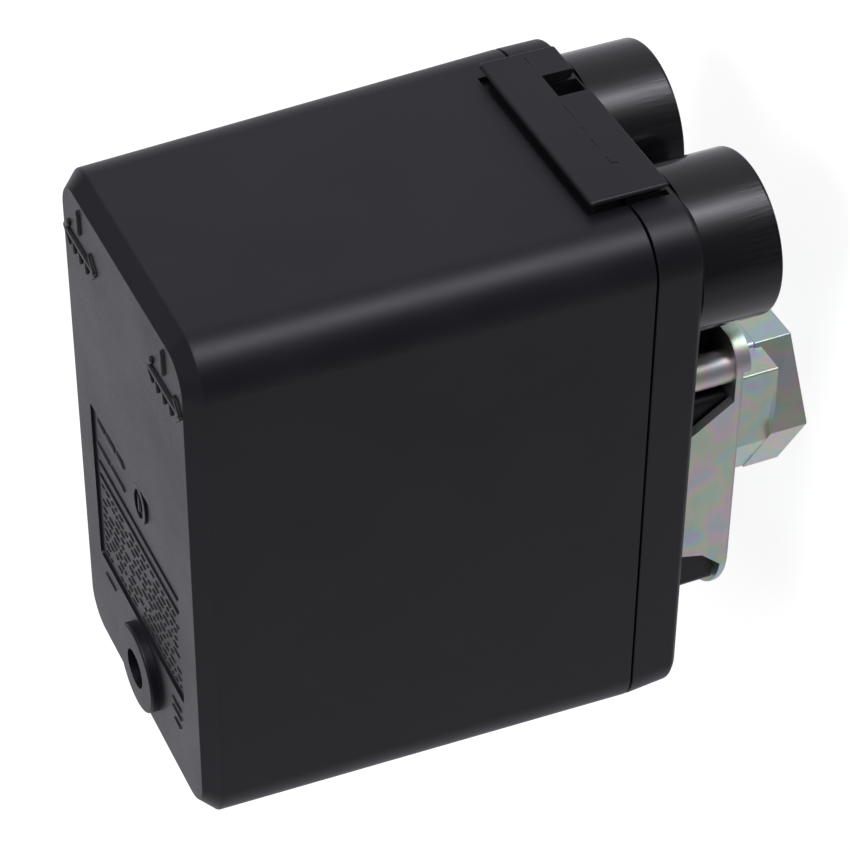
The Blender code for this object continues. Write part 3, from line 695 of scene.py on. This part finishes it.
def oval_ring(bm, centre, half_x, half_y, width, low, high):
    """A raised oval band with a small chamfer along both of its upper edges."""
    rim = 0.08
    section = [(0.0, low), (0.0, high - rim), (rim, high)]
    section += [(width - rim, high), (width, high - rim), (width, low)]
    rings = []
    for inset, z in section:
        a, b = half_x - inset, half_y - inset
        rings.append([(centre[0] + a * x, centre[1] + b * y, z) for x, y in circle(1.0, 40)])
    skin(bm, rings, wrap=True)


def turning_mark(bm, x, y, low, high):
    """Generic adjusting sign: a two-headed arrow with graduations and a pointer bar over it."""
    reach, head, width = 6.2, 1.7, 1.25
    ribbon(bm, [(x - reach, y), (x + reach, y)], width, low, high)
    for side in (-1, 1):
        tip = x + side * reach
        for slope in (-1, 1):
            ribbon(bm, [(tip, y), (tip - side * head, y + slope * head)], width * 0.9, low, high)
    for step in (-1, 0, 1):
        ribbon(bm, [(x + step * 2.6, y - 0.3), (x + step * 2.6, y - 2.3)], 1.0, low, high)
    ribbon(bm, [(x, y + 2.9), (x, y + 6.2)], 1.45, low, high)


def make_marks():
    """Bars, rules and rows of dashes that stand in for the print of a rating plate."""
    bm = bmesh.new()
    top, floor, sink = TOP, TOP - PANEL_DEPTH, 0.1
    for x in (-16.8, 17.0):
        turning_mark(bm, x, 32.6, top - sink, top + 0.42)
    low, high = floor - sink, floor + 0.24
    for x, length in ((-14.4, 2.6), (-10.4, 3.4), (-6.4, 2.2)):
        ribbon(bm, [(x - length / 2, 0.9), (x + length / 2, 0.9)], 2.7, low, high)
    for x, length in ((-14.2, 4.6), (-8.0, 5.2)):
        ribbon(bm, [(x - length / 2, -3.9), (x + length / 2, -3.9)], 1.5, low, high)
    oval_ring(bm, (2.2, -0.3), 2.7, 3.5, 0.95, low, high + 0.14)
    ribbon(bm, [(2.2, -1.5), (2.2, 0.9)], 1.0, low, high + 0.14)
    for y in (-7.2, -9.8):
        ribbon(bm, [(-16.6, y), (16.4, y)], 0.42, low, high)
    pattern = random.Random(7)
    rows, pitch, first, tip = 10, 1.5, -11.7, 0.22
    for row in range(rows):
        y = first - row * pitch
        x = -16.4
        while x < 15.6:
            stop = min(x + pattern.uniform(0.8, 2.6), 16.2)
            if pattern.random() < 0.88 and stop - x > 0.6:
                ribbon(bm, [(x + tip, y), (stop - tip, y)], pattern.choice((0.45, 0.6)), low, high - 0.08)
            x = stop + pattern.uniform(0.3, 0.8)
    low, high = top - sink, top + 0.22
    for x, y, length in ((-13.8, -29.4, 4.0), (14.6, -29.6, 3.4), (14.6, -31.4, 3.4), (14.6, -33.6, 2.2)):
        ribbon(bm, [(x - length / 2, y), (x + length / 2, y)], 0.7, low, high)
    marks = add_object("cover_marks", bm, PLASTIC)
    return fit_plain(marks, "cover", "housing_plastic")


# ---------------------------------------------------------------- base

def make_base():
    top = SEAM - GAP / 2
    lip_in, lip_t, lip_top, foot = WALL + 0.35, 1.6, 38.5, 1.0
    profile = [(lip_in + lip_t + 3, FLOOR_TOP), (lip_in + lip_t, FLOOR_TOP), (lip_in + lip_t, lip_top),
               (lip_in, lip_top), (lip_in, top), (0.0, top), (0.0, BASE_BOTTOM + foot),
               (foot, BASE_BOTTOM), (foot + 3, BASE_BOTTOM)]
    profile = soften(profile, [0, 0.5, 0.3, 0.3, 0.1, 0.22, 0.9, 0.9, 0], 4)
    rings = []
    lean = 0.8
    for step, (inset, z) in enumerate(profile):
        radius = max(CORNER_R - inset, 0.6)
        outside = step > len(profile) // 2
        back = lean * (top - z) / (top - BASE_BOTTOM) if outside else 0.0
        rings.append(rounded(SEAM_W - 2 * inset, SEAM_D - 2 * inset - back, radius, z, SEAM_Y + back / 2))
    base = loft("base_tray", rings, PLASTIC)

    under, into = PLATE_TOP + GAP, BASE_BOTTOM + 0.8
    middle, length = (PLINTH_BACK + PLINTH_FRONT) / 2, PLINTH_FRONT - PLINTH_BACK
    plinth = [rounded(2 * PLINTH_HALF, length, 1.5, z, middle, 6) for z in (under, into)]
    join(base, loft("plinth", plinth))
    join(base, block("nose", (-NOSE_HALF, NOSE_HALF), (PLINTH_FRONT - 1.0, NOSE_FRONT), (under, into + 0.1)))
    earth_r, earth_top, core_r, clear_r = 4.0, 38.0, 1.75, 2.2
    join(base, prism("earth_boss", circle(earth_r, 36, 0.0, EARTH_Y), FLOOR_TOP - 0.6, earth_top))
    reach = TONGUE_HALF + 0.1
    for side in (-1, 1):
        strip = sorted((side * (TONGUE_HALF - 1.2), side * reach))
        cut(base, block("groove", strip, (SEAM_FRONT - GROOVE, SEAM_FRONT + 1), (TONGUE_BOTTOM, SEAM)))
    cut(base, block("pocket", WINDOW, (SEAM_FRONT - 3.0, SEAM_FRONT + 1), (BASE_BOTTOM + 1.0, 34.9)))
    join(base, block("latch", (-11.5, -6.8), (SEAM_FRONT - 3.4, SEAM_FRONT - 0.6), (33.2, 34.4)))
    chamber_top, plunger_r, neck_r = 26.3, 4.6, 8.9
    bore(base, CHAMBER_R + 0.7, PLATE_TOP - 1, chamber_top, 0.0, PORT_Y, 80)
    bore(base, plunger_r, chamber_top - 0.3, FLOOR_TOP + 1, 0.0, PORT_Y)
    for side in (-1, 1):
        slot = sorted((side * (PLINTH_HALF - 0.2), side * (PLATE_HALF + GAP)))
        cut(base, block("slot", slot, (PORT_Y - 12.0, PORT_Y + 12.0), (27.4, FLOOR_TOP + 1)))
        bore(base, neck_r, BASE_BOTTOM - 1, FLOOR_TOP + 1, side * SLEEVE_X, SLEEVE_Y, 64)
        bore(base, core_r, 27.0, FLOOR_TOP + 1, side * BRACKET_SCREW_X, BRACKET_SCREW_Y, 24)
    for x, y in FLANGE_SCREWS:
        bore(base, clear_r, PLATE_TOP - 1, 27.2, x, y, 24)
    bore(base, core_r, 32.5, earth_top + 1, 0.0, EARTH_Y, 24)
    sink = [(0.0, 27.0), (5.2, 27.0), (2.3, 29.9), (2.3, FLOOR_TOP + 1), (0.0, FLOOR_TOP + 1)]
    cut(base, turned("countersink", sink, None, (0.0, BOSS_Y), 48))
    finish_edges(base, 0.14, 2, 40.0)
    return fit(base, "base", "housing_plastic", "base")


# ---------------------------------------------------------------- cable sleeves

def make_sleeve(side, x):
    neck, bore_r, pocket_r, pocket_top = 8.6, 7.0, 8.3, 23.8
    shoulder = BASE_BOTTOM - 0.04
    section = [(SLEEVE_R, SLEEVE_END), (SLEEVE_R, shoulder), (neck, shoulder), (neck, 31.6), (bore_r, 31.6),
               (bore_r, pocket_top), (pocket_r, pocket_top), (pocket_r, SLEEVE_END)]
    section = soften(section, [0.7, 0.1, 0.1, 0.4, 0.4, 0.3, 0.1, 0.35], 5, True)
    sleeve = turned(f"sleeve_body_{side}", section, FINISH["sleeve_plastic"], (x, SLEEVE_Y), 128, bored=True)
    fit_plain(sleeve, f"{side}_sleeve", "sleeve_plastic", f"cable_sleeve_{side}")

    section = [(5.0, 16.5), (8.0, 16.5), (8.0, 23.5)]
    section += [(5.0, 23.5), (5.6, 22.2), (5.0, 20.9), (5.6, 19.6), (5.0, 18.3)]
    section = soften(section, 0.4, 4, True)
    seal = turned(f"sealing_ring_{side}", section, FINISH["seal_rubber"], (x, SLEEVE_Y), 72, bored=True)
    fit_plain(seal, f"{side}_sleeve", "seal_rubber", f"gland_seal_{side}")


# ---------------------------------------------------------------- pressure side

def soft_prism(name, outline, low, high, corner, rims, finish=None):
    """Prism on Z with rounded vertical corners and a rounded rim at its lower and upper end."""
    if corner:
        outline = soften(outline, corner, 4, True)
    middle = sum((Vector(p) for p in outline), Vector((0.0, 0.0))) / len(outline)
    reach = min((Vector(p) - middle).length for p in outline)
    rings = []
    for end, sign, rim in ((low, 1, rims[0]), (high, -1, rims[1])):
        turns = [math.radians(90 * k / 4) for k in range(5)] if rim else [math.radians(90)]
        levels = [(rim * (1 - math.sin(t)), end + sign * rim * (1 - math.cos(t))) for t in turns]
        for inset, z in levels if sign > 0 else levels[::-1]:
            share = 1 - inset / reach
            points = [middle + (Vector(p) - middle) * share for p in outline] if inset > 1e-6 else outline
            rings.append([(*p[:2], z) for p in points])
    return loft(name, rings, finish)


def make_port():
    port = soft_prism("port_fitting", hexagon(HEX_AF, 0.0, PORT_Y), 0.0, HEX_TOP, 0.3, (0.4, 0.12), ZINC)
    flat = HEX_AF / 2
    corner = flat / math.cos(math.radians(30))
    meet = (corner - SHOULDER_HALF) * math.sqrt(3)
    inset = 0.18
    back = (corner / 2 - inset, inset - flat)
    right = [(SHOULDER_HALF, SHOULDER_FRONT), (SHOULDER_HALF, inset - meet), back]
    left = [(-x, y) for x, y in right]
    outline = [(x, y + PORT_Y) for x, y in right[:1] + left + right[:0:-1]]
    top = PLATE_BOTTOM - GAP
    join(port, soft_prism("shoulder", outline, HEX_TOP - 1.0, top, 0.35, (0.0, 0.15)))
    corner_block = rectangle((-7.4, 7.4), (PORT_Y + 2.0, PORT_Y + flat - 0.05))
    join(port, soft_prism("pad", corner_block, HEX_TOP - 1.2, top, [0.2, 0.2, 0.9, 0.9], (0.0, 0.15)))
    join(port, prism("neck", circle(7.5, 64, 0.0, PORT_Y), PLATE_BOTTOM - 1, PLATE_TOP))
    mouth = [(0.0, -1.0), (PORT_BORE + 1.9, -1.0), (PORT_BORE + 0.9, 0.0)]
    mouth += [(PORT_BORE, 0.9), (PORT_BORE, 12.0), (0.0, 12.0)]
    cut(port, turned("mouth", mouth, None, (0.0, PORT_Y), 72))
    bore(port, 2.2, 11.0, PLATE_TOP + 1, 0.0, PORT_Y, 32)
    fit_plain(port, "base", "zinc_plate", "port_body")
    crest, depth, pitch = PORT_BORE - 0.02, 0.62, 1.337
    thread = threaded("port_thread", crest, depth, pitch, 0.9, 11.6, ZINC, (0.0, PORT_Y), 0.25, 72, 8)
    fit_plain(thread, "base", "zinc_plate")


def plate_outline():
    """Outline of the plate, anticlockwise from its right side. Its sides are exactly at PLATE_HALF."""
    steps = 14
    points = []
    corners = ((1, 1, PLATE_FRONT_R), (-1, 1, PLATE_FRONT_R), (-1, -1, PLATE_BACK_R), (1, -1, PLATE_BACK_R))
    for quarter, (sx, sy, radius) in enumerate(corners):
        centre_y = PLATE_HIGH.y - radius if sy > 0 else PLATE_LOW.y + radius
        for k in range(steps + 1):
            turn = math.radians(90 * (quarter + k / steps))
            x = sx * (PLATE_HALF - radius) + radius * math.cos(turn)
            if k == (0 if sx == sy else steps):
                x = sx * PLATE_HALF
            points.append((x, centre_y + radius * math.sin(turn)))
    return points


def pad_outline():
    """Outline of the plate's thicker front edge, which runs back further between its ears."""
    front = [p for p in plate_outline() if p[1] > EAR_BACK]
    step = [(PLATE_HALF, EAR_BACK), (PAD_HALF, EAR_BACK), (PAD_HALF, PAD_BACK)]
    return front + [(-x, y) for x, y in step] + step[::-1]


def make_flange_plate():
    """Blanked plate with two tabs bent up at its sides and countersunk holes."""
    bend = 0.8
    plate = soft_prism("flange", plate_outline(), PLATE_BOTTOM, PLATE_TOP, 0, (bend, 0.1), ZINC)
    join(plate, prism("pad", pad_outline(), PAD_BOTTOM, PLATE_BOTTOM + bend + 0.3))
    tab = [(-16.8, PLATE_TOP - 0.5), (16.4, PLATE_TOP - 0.5), (9.3, BASE_BOTTOM), (9.3, 31.5),
           (-11.6, 31.5), (-11.6, BASE_BOTTOM), (-13.4, 21.2)]
    tab = [(y + PORT_Y, z) for y, z in tab]
    for side in (-1, 1):
        inner, outer = sorted((side * (PLATE_HALF - SHEET), side * PLATE_HALF))
        join(plate, prism("tab", tab, inner, outer, None, "X"))
        stud = circle(STUD_R, 48, side * STUD_X, STUD_Y)
        join(plate, prism("stud", stud, PLATE_TOP - 0.6, BASE_BOTTOM - GAP))
    bore(plate, 7.8, PLATE_BOTTOM - 1, PLATE_TOP + 1, 0.0, PORT_Y, 64)
    for x, y in FLANGE_SCREWS:
        sink = [(0.0, PAD_BOTTOM - 1), (3.7, PAD_BOTTOM - 1), (3.7, PLATE_BOTTOM), (2.2, PLATE_TOP - 0.3),
                (2.2, PLATE_TOP + 1), (0.0, PLATE_TOP + 1)]
        cut(plate, turned("countersink", sink, None, (x, y), 40))
    for sx, sy in ((-1, -1), (1, -1), (1, 1), (-1, 1)):
        bore(plate, 1.7, PLATE_BOTTOM - 1, PLATE_TOP + 1, sx * CLAMP_AT, PORT_Y + sy * CLAMP_AT, 24)
    finish_edges(plate, 0.12, 2, 35.0)
    return fit(plate, "base", "zinc_plate", "flange_plate")


# ---------------------------------------------------------------- screws and springs

def cross_recess(screw, x, y, level, reach, depth, below=False):
    """Cut a cross into a screw head whose face is at level."""
    low, high = (level - 1, level + depth) if below else (level - depth, level + 1)
    width = reach * 0.16
    for across, along in ((width, reach * 0.62), (reach * 0.62, width)):
        cut(screw, block("recess", (x - across, x + across), (y - along, y + along), (low, high)))


def make_screw(name, node, body, at, head_r, head_z, shank_r, tip_z, slot=0.9, cross=False):
    """Cheese-head screw with a slot or a cross and a threaded shank."""
    low, high = head_z
    head = [(0.0, low - 0.4), (shank_r - 0.1, low - 0.4), (shank_r - 0.1, low), (head_r, low), (head_r, high),
            (0.0, high)]
    screw = turned(name, soften(head, [0, 0, 0, 0.12, 0.38, 0], 4), STEEL, at, 48)
    x, y = at
    if cross:
        cross_recess(screw, x, y, high, head_r, 1.0)
    else:
        wide = head_r + 1
        cut(screw, block("slot", (x - wide, x + wide), (y - slot / 2, y + slot / 2), (high - 0.8, high + 1)))
    finish_edges(screw, 0.07, 2)
    fit(screw, body, "bright_steel", node)
    thread = threaded(f"{name}_thread", shank_r, 0.22, 0.7, tip_z, low - 0.2, STEEL, at)
    fit_plain(thread, body, "bright_steel")


def make_sunk_screw(name, node, at, face, rim_z, head_r, neck_r, neck_z, tip_z):
    """Countersunk screw driven from below."""
    profile = [(0.0, face), (head_r, face), (head_r, rim_z), (neck_r, neck_z), (neck_r, tip_z - 0.5),
               (neck_r - 0.5, tip_z), (0.0, tip_z)]
    screw = turned(name, soften(profile, [0, 0.1, 0.1, 0.2, 0.1, 0.1, 0], 3), STEEL, at, 48)
    cross_recess(screw, at[0], at[1], face, head_r, 0.9, below=True)
    finish_edges(screw, 0.06, 2)
    fit(screw, "base", "bright_steel", node)


def make_screws():
    head = (BLOCK_TOP + 1.4, BLOCK_TOP + 3.4)
    for number, x in enumerate(POLES, 1):
        for row, y in TERMINAL_ROWS:
            node = f"terminal_screw_{row}_{number}"
            make_screw(f"clamp_{row}_{number}", node, node, (x, y), 2.6, head, 1.4, 54.0)
    make_screw("ground_screw", "earth_screw", "earth_screw", (0.0, EARTH_Y), 2.8, (39.6, 41.6), 1.45, 33.2)
    make_screw("lid_screw", "cover_screw", "cover_screw", (0.0, BOSS_Y), 2.8, (98.3, 101.0), 1.9, 84.0, 1.1)
    head = (32.6, 34.4)
    for side, x in (("left", -BRACKET_SCREW_X), ("right", BRACKET_SCREW_X)):
        node, at = f"bracket_screw_{side}", (x, BRACKET_SCREW_Y)
        make_screw(f"frame_screw_{side}", node, "base", at, 3.0, head, 1.45, 27.4, cross=True)
    for number, at in enumerate(FLANGE_SCREWS, 1):
        name, node = f"plate_screw_{number}", f"flange_screw_{number}"
        face = PAD_BOTTOM + GAP if at[1] > PAD_BACK else PLATE_BOTTOM
        make_sunk_screw(name, node, at, face, PLATE_BOTTOM + 0.15, 3.2, 1.9, 17.5, 27.0)
    make_sunk_screw("pillar_screw", "post_screw", (0.0, BOSS_Y), 28.0, 28.15, 3.8, 1.9, 29.9, 39.0)


def make_adjuster(name, x, shank_r, tip, flats, head, nut_half, nut_z, spring):
    """Hex-headed adjusting screw, its square nut and the spring (radius, wire, turns) below the nut."""
    at = (x, SPRING_Y)
    collar = BRIDGE_TOP + GAP
    crown = collar + head
    screw = prism(f"{name}_adjuster", hexagon(flats, *at), collar, crown, STEEL)
    join(screw, prism("journal", circle(shank_r, 40, *at), BRIDGE_TOP - 4.0, collar + 0.5))
    slot = (SPRING_Y - 0.6, SPRING_Y + 0.6)
    cut(screw, block("slot", (x - flats, x + flats), slot, (crown - 1.2, crown + 1)))
    finish_edges(screw, 0.22, 3)
    fit(screw, f"{name}_screw", "bright_steel", f"{name}_screw")
    thread = threaded(f"{name}_thread", shank_r, 0.28, 0.7, tip, BRIDGE_TOP - 3.9, STEEL, at, around=40)
    fit_plain(thread, f"{name}_screw", "bright_steel")
    square = rectangle((x - nut_half, x + nut_half), (SPRING_Y - nut_half, SPRING_Y + nut_half))
    nut = prism(f"{name}_travelling_nut", soften(square, 0.6, 4, True), *nut_z, ZINC)
    bore(nut, shank_r + 0.1, nut_z[0] - 1, nut_z[1] + 1, x, SPRING_Y)
    finish_edges(nut, 0.2, 3)
    fit(nut, f"{name}_nut", "zinc_plate", f"{name}_nut")
    radius, wire, turns = spring
    top = nut_z[0] - GAP
    wound = coil(f"{name}_coil", radius, wire, SPRING_FOOT, top, turns, FINISH["spring_steel"], at)
    wound.data.shade_smooth()
    return wound, top


def make_spring_cup(name, at, inner):
    """Pressed cup on the lever that guides the foot of a spring while the lever swings."""
    sheet, low, high = 0.5, SPRING_SEAT - GAP, SPRING_FOOT + 1.2
    section = [(1.5, low), (inner + sheet, low), (inner + sheet, high), (inner, high), (inner, low + sheet),
               (1.5, low + sheet)]
    section = soften(section, [0.1, 0.5, 0.15, 0.15, 0.2, 0.1], 4, True)
    cup = turned(f"{name}_spring_cup", section, ZINC, at, bored=True)
    fit_plain(cup, "lever", "zinc_plate")


def make_springs_and_adjusters():
    sizes = {
        "range": dict(x=RANGE_X, shank_r=2.0, tip=47.0, flats=8.0, head=4.0,
                      nut_half=6.25, nut_z=(66.0, 69.5), spring=(5.2, 0.75, 8)),
        "differential": dict(x=DIFFERENTIAL_X, shank_r=1.6, tip=50.0, flats=6.5, head=3.2,
                             nut_half=4.5, nut_z=(64.0, 67.0), spring=(3.4, 0.5, 9)),
    }
    for name, values in sizes.items():
        wound, top = make_adjuster(name, **values)
        x = values["x"]
        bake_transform(wound)
        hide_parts(f"{name}_spring")
        radius, wire = values["spring"][:2]
        make_spring_cup(name, (x, SPRING_Y), radius + wire + 0.5)
    radius, wire, low, high, turns = 2.1, 0.3, 64.3, 68.9, 5
    for number, x in enumerate(POLES, 1):
        name, at = f"contact_coil_{number}", (x, CARRIER_Y)
        small = coil(name, radius, wire, low, high, turns, FINISH["spring_steel"], at)
        small.data.shade_smooth()
        fit(small, "contact_carrier", "spring_steel", f"contact_spring_{number}")


# ---------------------------------------------------------------- carried-over nodes

def dress_nodes():
    """Give each CAD node still shown its material, rounded edges and flat shading."""
    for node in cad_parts.values():
        if node.hide_render:
            continue
        slot = node.material_slots[0].material.name.split(".")[0]
        node.material_slots[0].material = FINISH[slot]
        weld = node.modifiers.new("weld", "WELD")
        weld.merge_threshold = 0.001 * MM
        rounding = node.modifiers.new("round_edges", "BEVEL")
        rounding.width = 0.18 * MM
        rounding.segments = 2
        rounding.limit_method = "ANGLE"
        rounding.angle_limit = math.radians(40)
        flat = node.modifiers.new("flat_faces", "WEIGHTED_NORMAL")
        flat.keep_sharp = True


# ---------------------------------------------------------------- studio

def sky_ramp():
    """Brightness of the studio around the horizon: angle from +Y towards +X in degrees, and level."""
    return [(-180, 0.55), (-133, 0.88), (-60, 0.58), (-30, 0.55), (-16, 0.62), (-6, 1.0), (3, 2.4), (13, 5.9),
            (23, 3.0), (32, 1.0), (45, 0.30), (60, 0.16), (97, 0.12), (112, 0.28), (124, 0.39), (136, 0.44),
            (158, 0.60), (180, 0.58)]


def make_world():
    """White to the camera; to the object a soft tent with one bright panel and one dark gap."""
    world = bpy.data.worlds.new("studio")
    world.use_nodes = True
    tree = world.node_tree
    tree.nodes.clear()

    def add(kind, **settings):
        made = tree.nodes.new("ShaderNode" + kind)
        for key, value in settings.items():
            setattr(made, key, value)
        return made

    def wire(source, target):
        tree.links.new(source, target)

    def remap(source, start, end, low=0.0, high=1.0, kind="SMOOTHSTEP"):
        made = add("MapRange", interpolation_type=kind)
        wire(source, made.inputs["Value"])
        for key, number in (("From Min", start), ("From Max", end), ("To Min", low), ("To Max", high)):
            made.inputs[key].default_value = number
        return made.outputs[0]

    place_node = add("TexCoord")
    split = add("SeparateXYZ")
    wire(place_node.outputs["Generated"], split.inputs[0])
    bearing = add("Math", operation="ARCTAN2")
    wire(split.outputs["X"], bearing.inputs[0])
    wire(split.outputs["Y"], bearing.inputs[1])
    ramp = add("ValToRGB")
    wire(remap(bearing.outputs[0], -math.pi, math.pi, kind="LINEAR"), ramp.inputs["Fac"])
    stops = sky_ramp()
    peak = max(level for _, level in stops)
    elements = ramp.color_ramp.elements
    while len(elements) < len(stops):
        elements.new(0.5)
    for element, (angle, level) in zip(elements, stops):
        element.position = (angle + 180) / 360
        element.color = tuple(level / peak * part for part in STUDIO_TINT) + (1.0,)
    # the dark roof starts at this height and is full at the next; it sits lower on the -X side
    roof_start, roof_full, roof_lean = 0.42, 0.80, -0.25
    slope = add("Math", operation="MULTIPLY_ADD")
    wire(split.outputs["X"], slope.inputs[0])
    slope.inputs[1].default_value = roof_lean
    wire(split.outputs["Z"], slope.inputs[2])
    sides = add("Mix", data_type="RGBA")
    wire(remap(slope.outputs[0], roof_start, roof_full), sides.inputs[0])
    wire(ramp.outputs["Color"], sides.inputs[6])
    roof_level = ROOF_LEVEL / peak
    sides.inputs[7].default_value = (roof_level, roof_level, roof_level, 1.0)
    dim = add("VectorMath", operation="SCALE")
    wire(sides.outputs[2], dim.inputs[0])
    wire(remap(split.outputs["Z"], -0.80, -0.50, UNDER_LEVEL, 1.0), dim.inputs["Scale"])
    tent = add("Background")
    wire(dim.outputs[0], tent.inputs["Color"])
    tent.inputs["Strength"].default_value = peak
    plain = add("Background")
    plain.inputs["Color"].default_value = (1.0, 1.0, 1.0, 1.0)
    rays = add("LightPath")
    choose = add("MixShader")
    wire(rays.outputs["Is Camera Ray"], choose.inputs[0])
    wire(tent.outputs[0], choose.inputs[1])
    wire(plain.outputs[0], choose.inputs[2])
    out = add("OutputWorld")
    wire(choose.outputs[0], out.inputs["Surface"])
    bpy.context.scene.world = world


def make_floor():
    bm = bmesh.new()
    reach, levels = 6000.0, (-2.5, -0.5)
    skin(bm, [[(x, y, z) for x, y in circle(reach, 64)] for z in levels])
    s = Surface("pale_floor", (0.36, 0.36, 0.36), 0.9)
    mottle = s.noise(60.0, 2.0)
    s.set(Base_Color=s.mix(s.spread(mottle, 0.0, 1.0), (0.35, 0.35, 0.35), (0.38, 0.38, 0.38)))
    s.set(Emission_Color=(1.0, 1.0, 1.0), Emission_Strength=0.84, Specular_IOR_Level=0.0)
    floor = add_object("floor", bm, s.material)
    floor.visible_glossy = False


def make_camera():
    data = bpy.data.cameras.new("camera")
    data.lens = CAMERA_LENS
    camera = bpy.data.objects.new("camera", data)
    camera.location = Vector(CAMERA_AT) * MM
    camera.rotation_euler = [math.radians(a) for a in CAMERA_TURN]
    bpy.context.scene.collection.objects.link(camera)
    bpy.context.scene.camera = camera


def make_light():
    """One broad overhead lamp, for soft shadows only. Its size and place are in metres."""
    data = bpy.data.lights.new("overhead", "AREA")
    data.shape = "DISK"
    data.size = 0.9
    data.energy = 9.0
    lamp = bpy.data.objects.new("overhead", data)
    lamp.location = (0.25, 0.35, 1.2)
    lamp.rotation_euler = (-lamp.location).to_track_quat("-Z", "Y").to_euler()
    lamp.visible_glossy = False
    bpy.context.scene.collection.objects.link(lamp)


def build():
    make_cover()
    make_marks()
    make_base()
    for side, x in (("left", -SLEEVE_X), ("right", SLEEVE_X)):
        make_sleeve(side, x)
    make_port()
    make_flange_plate()
    make_screws()
    make_springs_and_adjusters()
    dress_nodes()
    make_world()
    make_floor()
    make_light()
    make_camera()
    bpy.context.scene.view_settings.view_transform = "Standard"


build()
